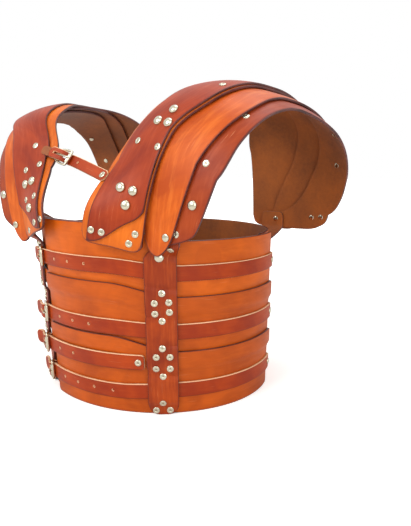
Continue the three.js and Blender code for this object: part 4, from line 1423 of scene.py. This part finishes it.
@dataclass(frozen=True)
class Studio:
    """A pale floor, soft lamps and the camera at the photograph's viewing angle."""

    camera_mm: tuple[float, float, float] = (523.2, -598.9, 321.9)
    yaw: float = 29.84
    pitch: float = 9.856
    roll: float = 0.175
    focal_px: float = 491.4
    centre_px: tuple[float, float] = (252.6, 256.7)
    image_px: tuple[float, float] = (411.0, 526.0)
    sensor_mm: float = 36.0
    clip: float = 0.01
    # Each lamp's name, its place and size in metres, and its power.
    lamps: tuple[tuple[str, tuple[float, float, float], float, float], ...] = (
        ("key_lamp", (-0.55, -2.0, 1.75), 1.5, 36.0),
        ("fill_lamp", (1.9, -1.3, 1.1), 1.6, 20.0),
        ("top_lamp", (0.2, 0.5, 2.3), 1.6, 22.0),
    )
    aim: tuple[float, float, float] = (0.0, 0.0, 0.22)
    world_light: tuple[float, float] = (0.55, 1.0)
    floor_size: float = 40.0
    floor_drop: float = 0.0002
    floor_grain: float = 400.0
    floor_relief_mm: float = 0.2
    glow_reach: tuple[float, float] = (0.35, 1.6)
    glow_light: tuple[float, float] = (0.4, 1.0)

    def build(self) -> None:
        """Set up camera, lamps, world and floor."""
        bpy.context.scene.view_settings.view_transform = "Standard"
        self.place_camera()
        self.hang_lamps()
        self.paint_world()
        self.lay_floor()

    def place_camera(self) -> None:
        """Put the camera where the photograph was taken from."""
        yaw, pitch, roll = (math.radians(a) for a in (self.yaw, self.pitch, self.roll))
        ahead = Vector((-math.sin(yaw) * math.cos(pitch), math.cos(yaw) * math.cos(pitch), -math.sin(pitch)))
        right = Vector((math.cos(yaw), math.sin(yaw), 0.0))
        above = right.cross(ahead)
        turned = math.cos(roll) * right + math.sin(roll) * above
        raised = math.cos(roll) * above - math.sin(roll) * right
        matrix = Matrix((turned, raised, -ahead)).transposed().to_4x4()
        matrix.translation = metres(Vector(self.camera_mm))
        camera = fresh(bpy.ops.object.camera_add)
        camera.name = "camera"
        camera.matrix_world = matrix
        camera.data.sensor_fit = "HORIZONTAL"
        camera.data.sensor_width = self.sensor_mm
        camera.data.lens = self.focal_px / self.image_px[0] * self.sensor_mm
        camera.data.shift_x = (self.image_px[0] / 2 - self.centre_px[0]) / self.image_px[0]
        camera.data.shift_y = (self.centre_px[1] - self.image_px[1] / 2) / self.image_px[0]
        camera.data.clip_start = self.clip
        bpy.context.scene.camera = camera

    def hang_lamps(self) -> None:
        """Hang a large soft key lamp in front, a fill at the side and one over the top."""
        for name, where, size, power in self.lamps:
            lamp = fresh(bpy.ops.object.light_add, type="AREA", location=where)
            lamp.name = name
            lamp.data.shape = "SQUARE"
            lamp.data.size = size
            lamp.data.energy = power
            lamp.rotation_euler = (Vector(self.aim) - Vector(where)).to_track_quat("-Z", "Y").to_euler()

    def paint_world(self) -> None:
        """Fill the world with soft light, and show it white to the camera and in metal."""
        world = bpy.data.worlds.new("studio")
        bpy.context.scene.world = world
        brush = Brush(world)
        path = brush.add("LightPath").outputs
        direct = brush.reckon("MAXIMUM", path["Is Camera Ray"], path["Is Transmission Ray"])
        seen = brush.reckon("MAXIMUM", direct, path["Is Glossy Ray"])
        strength = brush.ranged(seen, (0.0, 1.0), self.world_light)
        light = brush.add("Background", {"Color": WHITE, "Strength": strength}).outputs[0]
        brush.add("OutputWorld", {"Surface": light})

    def lay_floor(self) -> None:
        """Lay a wide floor of matt, almost white studio paper, brightened for the camera alone."""
        floor = fresh(
            bpy.ops.mesh.primitive_plane_add, size=self.floor_size, location=(0, 0, -self.floor_drop)
        )
        floor.name = "floor"
        bpy.ops.object.transform_apply(location=True, rotation=True, scale=True)
        material = bpy.data.materials.new("studio_paper")
        brush = Brush(material)
        coords = brush.add("TexCoord").outputs["Object"]
        bump = brush.bump(brush.noise(coords, self.floor_grain), 0.1, self.floor_relief_mm)
        paper = brush.add("BsdfDiffuse", {"Color": linear("#F4F3F0"), "Normal": bump}).outputs[0]
        away = brush.add("VectorMath", {0: coords}, operation="LENGTH").outputs["Value"]
        level = brush.ranged(away, self.glow_reach, self.glow_light, soft=True)
        glow = brush.reckon("MULTIPLY", brush.add("LightPath").outputs["Is Camera Ray"], level)
        light = brush.add("Emission", {"Color": WHITE, "Strength": glow}).outputs[0]
        both = brush.add("AddShader", {0: paper, 1: light}).outputs[0]
        brush.add("OutputMaterial", {"Surface": both})
        floor.data.materials.append(material)


# Building: the sub-assemblies


@dataclass
class ShoulderGuard:
    """One shoulder guard: its base, the overlay riveted to it and two lames on the pivot rivets."""

    side_name: str
    form: GuardForm
    overlay_spots: tuple[tuple[RivetKind, float, float], ...]
    base_spots: tuple[tuple[float, float], ...]
    third_spots: tuple[tuple[RivetKind, float, float], ...]
    rear_spots: tuple[tuple[float, float], ...] = (
        (-14.0, 20.0), (14.0, 26.0), (-24.0, 92.0), (24.0, 104.0), (14.0, 172.0)
    )
    third_rear_spots: tuple[tuple[float, float], ...] = (
        (119.0, 132.0), (112.5, 88.7), (64.4, 4.8), (81.2, 5.8)
    )
    burr_free: float = 20.0
    head_sunk: float = 0.7
    proud: float = 0.3
    shank: float = 2.4
    shank_sunk: float = 0.4

    def build(self) -> None:
        """Build the guard's lames and its rivets."""
        for cut in (BASE, OVERLAY, SECOND_LAME, THIRD_LAME):
            self.build_lame(cut)
        self.build_fixed_rivets()
        self.build_third_rivets()
        self.build_pivots()

    def build_lame(self, cut: LameCut) -> None:
        """Bend one lame to the arch, on the harness or, in an outer layer, on its own body."""
        piece = HideCut(
            f"{self.side_name}_hide_{cut.name}", functools.partial(self.form.place, cut),
            cut.rows, cut.columns, cut.thickness, cut.grain,
        ).build()
        body = f"{self.side_name}_{cut.name}" if cut.layer else "harness"
        settle(piece, body, cut.slot, [f"{self.side_name}_guard_{cut.name}"])

    def build_fixed_rivets(self) -> None:
        """Set the rivets and domes that hold the overlay, in front and, a little plainer, behind."""
        rivets = RivetSet(f"{self.side_name}_overlay_rivets")
        for kind, across, up in self.overlay_spots:
            rivets.add(kind, *self.form.seat(OVERLAY, across, up, True))
        for across, up in self.base_spots:
            rivets.add(RivetKind.FLAT, *self.form.seat(BASE, across, up, True))
        for across, up in self.rear_spots:
            swung = self.form.swung(OVERLAY, across, up)
            rivets.add(RivetKind.FLAT, *self.form.seat(OVERLAY, *swung, False))
        settle(rivets.build(), "harness", "nickel")

    def build_third_rivets(self) -> None:
        """Set the rivets of the outermost lame, with their burrs on its flesh side."""
        rivets = RivetSet(f"{self.side_name}_lame_3_rivets")
        spots = [(kind, across, up, True) for kind, across, up in self.third_spots]
        scale = self.form.crown / LEFT_FORM.crown
        spots += [(RivetKind.FLAT, across * scale, up * scale, False) for across, up in self.third_rear_spots]
        for kind, across, up, front in spots:
            point, outward = self.form.seat(THIRD_LAME, across, up, front)
            rivets.add(kind, point - outward * self.head_sunk, outward)
            if math.hypot(across, up) > self.burr_free:
                rivets.add(RivetKind.BURR, point - outward * THIRD_LAME.thickness, -outward)
        settle(rivets.build(), f"{self.side_name}_lame_3", "nickel")

    def build_pivots(self) -> None:
        """Make the two pivot rivets: a head outside, a shank through the lames and a burr inside."""
        form = self.form
        # In front the head sits on the second lame, behind on the base.
        ends = (("front", -1.0, PIVOT_AT[0], SECOND_LAME.depth), ("rear", 1.0, PIVOT_AT[1], 0.0))
        for end, way, reach, depth in ends:
            outward = Vector((0.0, way, 0.0))
            outer = reach - depth + self.proud
            inner = reach - TAB_DEPTH - GirdleForm.upright_thickness - self.proud
            across = form.side * form.pivot_offset
            head, tail = (Vector((across, way * out, form.pivot_height)) for out in (outer, inner))
            rivets = RivetSet(f"{self.side_name}_{end}_pivot_heads")
            rivets.add(RivetKind.PIVOT, head, outward)
            rivets.add(RivetKind.BURR, tail, -outward)
            sunk = outward * self.shank_sunk
            shank = wire("shank", [head - sunk, head.lerp(tail, 0.5), tail + sunk], self.shank, False)
            piece = join(f"{self.side_name}_{end}_pivot", [rivets.build(), shank])
            settle(piece, "harness", "nickel", [f"{self.side_name}_{end}_pivot_rivet"])


@dataclass
class Buckle:
    """A roller buckle on its route: a D of wire, a roller, a tongue and a folded chape."""

    name: str
    route: Place
    width: float
    strap_base: float
    heel_base: float
    chape_length: float
    strap_thickness: float = 2.6
    form: BuckleForm = field(default_factory=BuckleForm)

    @property
    def roller_out(self) -> float:
        """How far out the roller's axis lies."""
        return self.strap_base + self.strap_thickness + self.form.running_gap + self.form.roller

    @property
    def heel_out(self) -> float:
        """How far out the heel lies."""
        return self.heel_base + self.form.seat_gap + self.form.chape_thickness

    @property
    def heel_along(self) -> float:
        """How far along its route the heel lies past the roller."""
        return math.sqrt(self.form.length**2 - (self.roller_out - self.heel_out) ** 2)

    @functools.cached_property
    def pose(self) -> Matrix:
        """The buckle's own frame: along to the heel, out, and across along the roller."""
        roller = self.route(0, self.roller_out, 0)
        heel = self.route(self.heel_along, self.heel_out, 0)
        across = (self.route(0, self.roller_out, 1) - roller).normalized()
        along = (heel - roller).normalized()
        out = across.cross(along).normalized()
        pose = Matrix((along, out, across)).transposed().to_4x4()
        pose.translation = roller
        return pose

    def at(self, along: float, out: float, across: float) -> Vector:
        """Return a point of the buckle's own frame as one of the armour."""
        return self.pose @ Vector((along, out, across))

    @property
    def bow_meet(self) -> float:
        """How far along the strap's edges meet the bow."""
        share = (self.width / 2 + self.form.loop) / self.form.half_height(self.width)
        return self.form.bow(share) * self.heel_along / self.form.length

    @property
    def sagitta(self) -> float:
        """How much nearer the roller the bow is at the chape's edges than at the heel."""
        form = self.form
        return form.length - form.bow(form.chape_width / 2 / form.half_height(self.width))

    def threaded_out(self, along: float) -> float:
        """Return how far out the strap's inner face lies: over the bow and down onto the chape."""
        form = self.form
        bow_out = mix(self.roller_out, self.heel_out, self.bow_meet / self.heel_along)
        over_bow = bow_out + form.wire + 2 * form.running_gap
        on_chape = self.heel_out + form.chape_thickness + form.running_gap
        over_heel = on_chape + form.wire + form.fold_gap
        past = self.heel_along + form.loop
        rising = mix(self.strap_base, over_bow, smooth(form.roller / 2, self.bow_meet, along))
        bowed = mix(rising, over_heel, smooth(self.bow_meet, self.heel_along, along))
        return mix(bowed, on_chape, smooth(past, past + 3 * form.roller, along))

    def build(self) -> None:
        """Build the buckle's four parts."""
        self.build_frame()
        self.build_roller()
        self.build_tongue()
        self.build_chape()

    def build_frame(self) -> None:
        """Bend the D of wire, with the weld where its ends meet behind the roller."""
        form = self.form
        half = form.half_height(self.width)
        spots = [(0.0, form.wire - half)]
        for step in range(form.bow_steps + 1):
            turn = math.radians(mix(-90, 90, step / form.bow_steps))
            share = abs(math.sin(turn)) ** (2 / form.bow_power)
            spots.append((form.bow(share), math.copysign(half * share, turn)))
        spots.append((0.0, half - form.wire))
        rounded = [
            (mix(spot[0], following[0], share), mix(spot[1], following[1], share))
            for spot, following in zip(spots, spots[1:]) for share in (0.25, 0.75)
        ]
        points = [self.at(along, 0.0, across) for along, across in (*rounded, spots[-1])]
        frame = wire(f"{self.name}_wire", points, form.wire, True)
        settle(frame, "harness", "nickel", [f"{self.name}_frame"])

    def build_roller(self) -> None:
        """Roll the sheet metal tube that turns on the bar, with its open seam."""
        form = self.form
        tube = fresh(
            bpy.ops.mesh.primitive_cylinder_add, vertices=form.roller_sides, radius=form.roller * MM,
            depth=(self.width - form.spare) * MM, end_fill_type="NOTHING",
        )
        edit_face(tube, lambda face: face.center.x)
        bpy.ops.mesh.delete(type="FACE")
        bpy.ops.object.mode_set(mode="OBJECT")
        finish_with(tube, "SOLIDIFY", thickness=form.roller_wall * MM, offset=-1.0)
        finish_with(
            tube, "BEVEL", width=form.roller_round * MM, segments=2, limit_method="ANGLE",
            angle_limit=METAL_ANGLE,
        )
        carry(tube, self.pose)
        tube.data.materials.append(Wardrobe.get(Finish.NICKEL))
        make_active(tube)
        bpy.ops.object.shade_smooth_by_angle(angle=math.radians(form.roller_smooth))
        piece = join(f"{self.name}_tube", [tube])
        settle(piece, f"{self.name}_roller", "nickel", [f"{self.name}_roller"])

    def build_tongue(self) -> None:
        """Bend the tongue: a tip that hooks over the roller, an arm and an eye round the heel."""
        form = self.form
        rest = form.roller + form.running_gap + form.tongue_depth / 2
        # Places along and out with the share of its thickness there: first the hooked tip.
        spots = [
            (-form.roller - 1.5, rest - 1.5, 0.62), (-form.roller - 0.6, rest - 0.5, 0.8),
            (-form.roller / 2, rest, 0.95), (0.0, rest + 0.1, 1.0), (form.roller, rest + 0.05, 1.0),
        ]
        eye = form.wire + form.eye_gap + form.eye_wire
        lean = math.atan2(rest - eye, form.length)
        start = 90 - math.degrees(lean)
        arm_end = (form.length + eye * math.cos(math.radians(start)), eye * math.sin(math.radians(start)))
        first, last = spots[-1], (*arm_end, form.arm_share)
        for step in range(1, 7):
            spots.append(tuple(mix(low, high, step / 7) for low, high in zip(first, last)))
        for step in range(17):
            turned = math.radians(start - step / 16 * form.eye_turn)
            spots.append((form.length + eye * math.cos(turned), eye * math.sin(turned), form.eye_share))
        points = [self.at(along, out, 0.0) for along, out, _ in spots]
        sizes = [size for _, _, size in spots]
        tongue = wire(f"{self.name}_prong", points, form.tongue_depth / 2, False, sizes)
        settle(tongue, f"{self.name}_tongue", "nickel", [f"{self.name}_tongue"])

    @functools.cached_property
    def fold(self) -> Run:
        """The chape's outer face along and out: under the heel, round it and back over itself."""
        form = self.form
        thick, end = form.chape_thickness, self.chape_length
        outer = form.wire + form.fold_gap + thick
        shift_along = self.heel_along * self.sagitta / form.length
        shift_out = (self.roller_out - self.heel_out) * self.sagitta / form.length
        # The upper leaf, from its end to the heel. The lower leaf is its mirror image.
        leaf = [(end, thick), (mix(end, 9.0, 0.5), thick), (9.0, thick + 0.05)]
        leaf += [(4.6, 2.7), (1.5, outer - 0.1)]
        spots = [(along, -out) for along, out in leaf]
        for step in range(9):
            turned = math.radians(-90 - step * 180 / 8)
            spots.append((-shift_along + outer * math.cos(turned), shift_out + outer * math.sin(turned)))
        spots += reversed(leaf)
        return Run([(self.heel_along + along, self.heel_out + out, 0.0) for along, out in spots], 10)

    def chape_place(self, u: float, v: float, out: float) -> Vector:
        """Return a point of the chape's outer face, or outside it."""
        along, height, _ = self.fold.at(u)
        ahead = self.fold.heading(u)
        side = (v - 0.5) * self.form.chape_width
        return self.route(along + ahead[1] * out, height - ahead[0] * out, side)

    def slot_cutter(self, middle: float, length: float, height: float) -> bpy.types.Object:
        """Make the cutter of a slot that the tongue passes through.

        Args:
            middle: How far along the buckle its middle lies.
            length: Its length along the buckle.
            height: Its height outwards.

        Returns:
            The cutter.
        """
        cutter = fresh(bpy.ops.mesh.primitive_cube_add, size=1.0)
        size = (length, height, self.form.tongue_width + 2 * self.form.running_gap)
        cutter.data.transform(Matrix.Diagonal((*[side * MM for side in size], 1.0)))
        cutter.data.transform(Matrix.Translation((middle * MM, 0.0, 0.0)))
        carry(cutter, self.pose)
        return cutter

    def build_chape(self) -> None:
        """Fold the chape round the heel, with a slot for the tongue's eye."""
        form = self.form
        reach = form.loop + form.chape_thickness + form.spare
        slot = self.slot_cutter(form.length - self.sagitta / 2, 2 * reach + self.sagitta, 2 * reach)
        piece = HideCut(
            f"{self.name}_fold", self.chape_place, *form.fold_grid, form.chape_thickness, Finish.STRAP,
            corners=form.fold_corners, length=2 * self.chape_length, width=form.chape_width, edge_round=0.3,
        ).build([slot])
        settle(piece, "harness", "hide_russet", [f"{self.name}_chape"])

    def strap_slot(self) -> bpy.types.Object:
        """Return the cutter of the slot that lets the tongue through the strap."""
        form = self.form
        length = form.length * form.tongue_slot
        return self.slot_cutter(form.length + form.loop - length / 2, length, form.length)


def punch(inside: Vector, outside: Vector, radius: float) -> bpy.types.Object:
    """Make a round punch between two points of the armour.

    Args:
        inside: Its inner end, in millimetres.
        outside: Its outer end.
        radius: Its radius, in millimetres.

    Returns:
        The punch.
    """
    along = outside - inside
    cutter = fresh(
        bpy.ops.mesh.primitive_cylinder_add, vertices=PUNCH_SIDES, radius=radius * MM,
        depth=along.length * MM,
    )
    cutter.data.transform(Matrix.Translation(metres((inside + outside) / 2)) @ turned_to(along))
    return cutter


@dataclass
class Girdle:
    """The girdle: six lames in two panels, four buckled straps and four upright straps."""

    form: GirdleForm = field(default_factory=GirdleForm)
    outer_span: tuple[float, float] = (-22.0, 104.0)
    inner_span: tuple[float, float] = (92.0, 366.0)
    roller_angle: float = -23.0
    outer_rows: int = 100
    inner_rows: int = 190
    lame_columns: int = 30
    lame_corner: float = 5.0
    lame_width: float = 90.0
    degree_mm: float = 3.1
    strap_tail: float = 26.0
    strap_row_mm: float = 2.6
    strap_columns: int = 8
    strap_corners: tuple[float, float, float, float] = (4.0, 4.0, 9.5, 9.5)
    step_down: tuple[float, float] = (0.4, 4.0)
    curl_from: float = 6.0
    curl_past: float = 4.0
    chape_length: float = 30.0
    hole_spacing: float = 30.0
    hole_radius: float = 2.0
    # The uprights' angles, and how far under its top they leave the girdle, in front and behind.
    upright_angles: tuple[float, float] = (37.5, 142.5)
    upright_free: tuple[float, float] = (22.0, 45.0)
    upright_top: float = 255.0
    upright_grid: tuple[int, int] = (110, 12)
    upright_corners: tuple[float, float, float, float] = (14.0, 14.0, 8.0, 8.0)
    tab_flat_from: float = 233.0
    tab_inward: float = 7.0
    rivet_half_turn: float = 7.0
    rivet_inward: float = 0.9

    def build(self) -> None:
        """Build the lames, the straps with their buckles, and the upright straps."""
        for lame in range(3):
            self.build_lame(lame, "outer", self.outer_span, 0.0, self.outer_rows)
            self.build_lame(lame, "inner", self.inner_span, self.form.inner_offset, self.inner_rows)
        for row in STRAP_ROWS:
            self.build_strap(row)
        for side_name, side in (("left", 1), ("right", -1)):
            for end in ("front", "rear"):
                self.build_upright(side_name, side, end)

    def build_lame(self, lame: int, panel: str, span: tuple[float, float], offset: float, rows: int) -> None:
        """Bend one lame round the torso.

        Args:
            lame: Which lame, from 0 at the top.
            panel: Which panel it belongs to.
            span: Its first and last angle.
            offset: How far out the panel lies.
            rows: How many steps it has round the torso.
        """

        def place(u: float, v: float, out: float) -> Vector:
            """Return a point of the lame."""
            angle = mix(*span, u)
            height = mix(self.form.lame_foot(lame, angle), self.form.lame_top(lame, angle), v)
            return self.form.point(angle, height, offset + self.form.lap(lame, angle, height) + out)

        piece = HideCut(
            f"{panel}_hide_lame_{lame + 1}", place, rows, self.lame_columns, self.form.lame_thickness,
            Finish.TOP_BAND if lame == 0 else Finish.BAND, corners=(self.lame_corner,) * 4,
            length=self.degree_mm * (span[1] - span[0]), width=self.lame_width,
        ).build()
        settle(piece, "harness", "hide_orange", [f"girdle_{panel}_lame_{lame + 1}"])

    def build_strap(self, row: StrapRow) -> None:
        """Cut one strap, punch its holes, thread it through its buckle and rivet its end.

        Args:
            row: The strap's height and run.
        """
        form, heel = self.form, BuckleForm.length
        level = row.lift + form.lame_gap
        rate = form.arc_per_degree(self.roller_angle, form.strap_height(row, self.roller_angle))

        def back_of(along: float) -> float:
            """Return the angle at a place along the strap."""
            return self.roller_angle - along / rate

        def route(along: float, out: float, across: float) -> Vector:
            """Return a point of the strap's route."""
            angle = back_of(along)
            return form.point(angle, form.strap_height(row, angle) + across, out)

        heel_height = form.strap_height(row, back_of(heel))
        heel_base = form.upright_thickness + max(
            form.upright_base(
                back_of(heel + share * self.chape_length), heel_height + side * BuckleForm.chape_width, False
            )
            for share in (0, 0.25, 0.5, 0.75, 1) for side in (-0.5, 0, 0.5)
        )
        buckle = Buckle(f"buckle_{row.name}", route, form.strap_width, level, heel_base, self.chape_length)
        buckle.build()
        start = (self.roller_angle - row.to) * rate
        end = buckle.heel_along + self.strap_tail
        length = end - start

        def base(along: float) -> float:
            """Return how far out the strap's inner face lies."""
            if along >= 0:
                lifted = smooth(buckle.heel_along + self.curl_from, end + self.curl_past, along)
                return buckle.threaded_out(along) + row.curl * lifted
            low, high = (self.outer_span[1] + past for past in self.step_down)
            return mix(level, form.inner_offset + form.lame_gap, smooth(low, high, back_of(along)))

        def place(u: float, v: float, out: float) -> Vector:
            """Return a point of the strap."""
            along = mix(start, end, u)
            return route(along, base(along) + form.strap_thickness + out, (v - 0.5) * form.strap_width)

        cutters = [buckle.strap_slot()]
        for hole in range(1, row.holes + 1):
            along = -hole * self.hole_spacing - form.strap_thickness
            inside, outside = (route(along, level + out * form.strap_thickness, 0) for out in (-1, 2))
            cutters.append(punch(inside, outside, self.hole_radius))
        piece = HideCut(
            f"hide_strap_{row.name}", place, round(length / self.strap_row_mm), self.strap_columns,
            form.strap_thickness, Finish.STRAP, edge=Finish.RAW, corners=self.strap_corners, length=length,
            width=form.strap_width, edge_round=0.4,
        ).build([join("punches", cutters)])
        settle(piece, "harness", "hide_russet", [f"girdle_strap_{row.name}"])
        rivets = RivetSet(f"strap_{row.name}_rivets")
        for along in row.rivets:
            rivets.add_on(place, along / length, 0.5, RivetKind.FLAT)
        settle(rivets.build(), "harness", "nickel")

    def build_upright(self, side_name: str, side: int, end: str) -> None:
        """Bend one upright strap over the laps and up to the pivot line, and rivet it.

        Args:
            side_name: The wearer's left or right.
            side: 1 on the wearer's left, -1 on the right.
            end: Front or rear.
        """
        form = self.form
        front = end == "front"
        index, way = (0, -1) if front else (1, 1)
        middle = side * self.upright_angles[index]
        on_outer = side > 0 and front
        half = form.upright_width / 2 / form.arc_per_degree(middle, form.height / 2)
        leave = form.height - self.upright_free[index]
        tab_face = PIVOT_AT[index] - TAB_DEPTH
        tab_middle = LEFT_FORM.pivot_offset - self.tab_inward

        def place(u: float, v: float, out: float) -> Vector:
            """Return a point of the upright strap."""
            height, share = self.upright_top * u, 2 * v - 1
            angle = middle + share * half
            wrapped = angle + 360 if angle < 0 and not on_outer else angle
            base = form.upright_base(wrapped, height, on_outer)
            spot = form.point(angle, height, base + form.upright_thickness + out)
            inward = -way * side * share * form.upright_width / 2
            tab = Vector((side * (tab_middle + inward), way * (tab_face + out), height))
            return spot.lerp(tab, smooth(leave, self.tab_flat_from, height))

        piece = HideCut(
            f"hide_upright_{side_name}_{end}", place, *self.upright_grid, form.upright_thickness,
            Finish.UPRIGHT, corners=self.upright_corners, length=self.upright_top, width=form.upright_width,
        ).build()
        settle(piece, "harness", "hide_russet", [f"girdle_upright_{side_name}_{end}"])
        rivets = RivetSet(f"upright_{side_name}_{end}_rivets")
        for kind, turned, height in UPRIGHT_RIVETS:
            share = (turned - self.upright_angles[0]) / self.rivet_half_turn * side
            rivets.add_on(place, height / self.upright_top, (share * self.rivet_inward + 1) / 2, kind)
        settle(rivets.build(), "harness", "nickel")


# Each rivet's kind, its angle from the front on the left front upright, and its height.
UPRIGHT_RIVETS = (
    (RivetKind.FLAT, 41.0, 226.0), (RivetKind.DOME, 37.0, 215.0),
    (RivetKind.FLAT, 38.0, 169.0), (RivetKind.FLAT, 34.4, 156.0), (RivetKind.FLAT, 41.2, 157.0),
    (RivetKind.FLAT, 34.5, 142.0), (RivetKind.FLAT, 41.4, 144.0), (RivetKind.FLAT, 37.8, 132.0),
    (RivetKind.FLAT, 37.6, 95.0), (RivetKind.FLAT, 34.5, 83.0), (RivetKind.FLAT, 41.2, 83.0),
    (RivetKind.FLAT, 34.3, 67.0), (RivetKind.FLAT, 41.2, 67.0), (RivetKind.FLAT, 37.5, 55.0),
    (RivetKind.FLAT, 37.2, 18.0), (RivetKind.FLAT, 33.5, 6.5), (RivetKind.FLAT, 40.7, 6.5),
)


@dataclass
class ChestStrap:
    """The strap across the neck opening, riveted at the left and buckled at the right."""

    left: GuardForm
    right: GuardForm
    width: float = 16.0
    thickness: float = 2.6
    tail: float = 12.0
    chape_length: float = 27.0
    start: float = 55.0
    start_above: float = 70.0
    buckle_at: float = 37.0
    slope: float = 0.25
    margin: float = 27.0
    lead: float = 5.0
    left_edge: float = 46.0
    right_edge: float = 55.0
    strap_base: float = 0.8
    heel_base: float = 4.4
    hole_at: float = -19.0
    hole_span: tuple[float, float] = (-1.8, 6.0)
    hole_radius: float = 1.8
    rivet_at: float = 8.0
    reach: float = 1.6
    grid: tuple[int, int] = (64, 8)
    corners: tuple[float, float, float, float] = (7.8, 7.8, 7.0, 7.0)

    def base_front(self, form: GuardForm, x: float) -> tuple[Vector, Vector]:
        """Return the point of a guard's base under the strap, and its outward direction."""
        height = form.pivot_height + self.start_above + (self.start - x) * self.slope

        def spot(sideways: float, rising: float) -> Vector:
            """Return the base's point beside the place."""
            across = form.side * (x + sideways) - form.pivot_offset
            up = height + rising - form.pivot_height
            y = form.plane(across, up, 0.0, True) - form.flare(across, up)
            return Vector((x + sideways, y, height + rising))

        middle = spot(0, 0)
        return middle, (spot(self.reach, 0) - middle).cross(spot(0, self.reach) - middle).normalized()

    @functools.cached_property
    def stops(self) -> list[tuple[Vector, Vector]]:
        """The places that the strap's line goes through, from the left to the right."""
        far, far_out = self.base_front(self.right, -self.right_edge - self.margin)
        near, _ = self.base_front(self.right, -self.right_edge)
        halfway = mix(self.start, self.left_edge, 0.5)
        found = [self.base_front(self.left, x) for x in (self.start, halfway, self.left_edge)]
        for x in (self.buckle_at - self.lead, self.right_edge, self.right_edge + self.margin):
            found.append((near.lerp(far, (x - self.right_edge) / self.margin), far_out))
        return found

    @functools.cached_property
    def line(self) -> Run:
        """The curve through the stops."""
        return Run([tuple(spot) for spot, _ in self.stops], 40)

    @property
    def roller_at(self) -> float:
        """How far along the line the roller lies."""
        return (self.start + self.buckle_at) * math.hypot(1, self.slope)

    def route(self, along: float, out: float, across: float) -> Vector:
        """Return a point of the strap's route, with the roller at along 0."""
        share = (self.roller_at + along) / self.line.length
        held = min(1.0, max(0.0, share))
        ahead = Vector(self.line.heading(held))
        spot = Vector(self.line.at(held)) + ahead * ((share - held) * self.line.length)
        runs = [self.stops[0][0].x - stop.x for stop, _ in self.stops]
        shares = [run / runs[-1] for run in runs]
        index = max(1, next((i for i, value in enumerate(shares) if value >= held), len(shares) - 1))
        local = (held - shares[index - 1]) / (shares[index] - shares[index - 1])
        lean = self.stops[index - 1][1].lerp(self.stops[index][1], local)
        outward = (lean - ahead * lean.dot(ahead)).normalized()
        return spot + outward * out + ahead.cross(outward) * across

    def build(self) -> None:
        """Build the buckle, the strap and its rivets."""
        buckle = Buckle(
            "buckle_chest", self.route, self.width, self.strap_base, self.heel_base, self.chape_length
        )
        buckle.build()
        start, end = -self.roller_at, buckle.heel_along + self.tail
        length = end - start

        def place(u: float, v: float, out: float) -> Vector:
            """Return a point of the strap."""
            along = mix(start, end, u)
            base = self.strap_base if along < 0 else buckle.threaded_out(along)
            return self.route(along, base + self.thickness + out, (v - 0.5) * self.width)

        inside, outside = (self.route(self.hole_at, out, 0) for out in self.hole_span)
        hole = punch(inside, outside, self.hole_radius)
        piece = HideCut(
            "hide_strap_chest", place, *self.grid, self.thickness, Finish.STRAP, edge=Finish.RAW,
            corners=self.corners, length=length, width=self.width, edge_round=0.4,
        ).build([join("chest_punches", [buckle.strap_slot(), hole])])
        settle(piece, "harness", "hide_russet", ["chest_strap"])
        rivets = RivetSet("chest_strap_rivets")
        rivets.add_on(place, self.rivet_at / length, 0.5, RivetKind.FLAT)
        settle(rivets.build(), "harness", "nickel")


LEFT_GUARD = ShoulderGuard(
    "left", LEFT_FORM,
    overlay_spots=(
        (RivetKind.FLAT, 31.2, 184.8), (RivetKind.DOME, -8.6, 152.3), (RivetKind.DOME, -26.7, 139.3),
        (RivetKind.DOME, -8.3, 135.9), (RivetKind.FLAT, -52.5, 115.8), (RivetKind.FLAT, -14.5, 107.3),
        (RivetKind.DOME, -58.7, 59.0), (RivetKind.DOME, -41.5, 55.0), (RivetKind.DOME, -49.0, 38.0),
        (RivetKind.FLAT, -78.6, 4.6), (RivetKind.FLAT, -92.0, 7.2),
    ),
    base_spots=((-39.8, 2.6), (-47.9, -9.2)),
    third_spots=(
        (RivetKind.DOME, 35.4, 39.6), (RivetKind.FLAT, 48.0, 87.9), (RivetKind.FLAT, 76.0, 143.3),
        (RivetKind.FLAT, 11.8, 4.2),
    ),
)
RIGHT_GUARD = ShoulderGuard(
    "right", RIGHT_FORM,
    overlay_spots=(
        (RivetKind.FLAT, -35.7, 79.4), (RivetKind.FLAT, -61.7, 87.7), (RivetKind.DOME, -41.0, 59.8),
        (RivetKind.DOME, -58.0, 64.7), (RivetKind.FLAT, -75.0, 45.4), (RivetKind.FLAT, -47.7, 38.7),
        (RivetKind.DOME, -65.0, 28.9), (RivetKind.FLAT, -41.8, 113.7), (RivetKind.FLAT, -81.7, 10.5),
    ),
    base_spots=((-94.6, 15.4), (-48.6, -4.1)),
    third_spots=(
        (RivetKind.DOME, 39.0, 37.0), (RivetKind.FLAT, 48.0, 87.9), (RivetKind.FLAT, 76.0, 140.0),
        (RivetKind.FLAT, 11.8, 4.2),
    ),
)


# The whole


def dress_nodes(frame: dict) -> None:
    """Give every CAD node that stays its procedural finish.
    """
    slots = {part["node"]: part["material_slot"] for part in frame["record"]["subparts"]}
    finishes = {"hide_orange": Finish.BAND, "hide_russet": Finish.STRAP, "nickel": Finish.NICKEL}
    for name, node in frame["nodes"].items():
        node.data.materials.clear()
        node.data.materials.append(Wardrobe.get(finishes[slots[name]]))


def main() -> None:
    """Build the armour's visual model in order, and report each piece."""
    logging.basicConfig(level=logging.INFO, format="%(name)s: %(message)s")
    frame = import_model()
    Studio().build()
    dress_nodes(frame)
    Girdle().build()
    LEFT_GUARD.build()
    RIGHT_GUARD.build()
    ChestStrap(GuardForm(1, *STRAP_SEAT), GuardForm(-1, *STRAP_SEAT)).build()


if __name__ == "__main__":
    main()
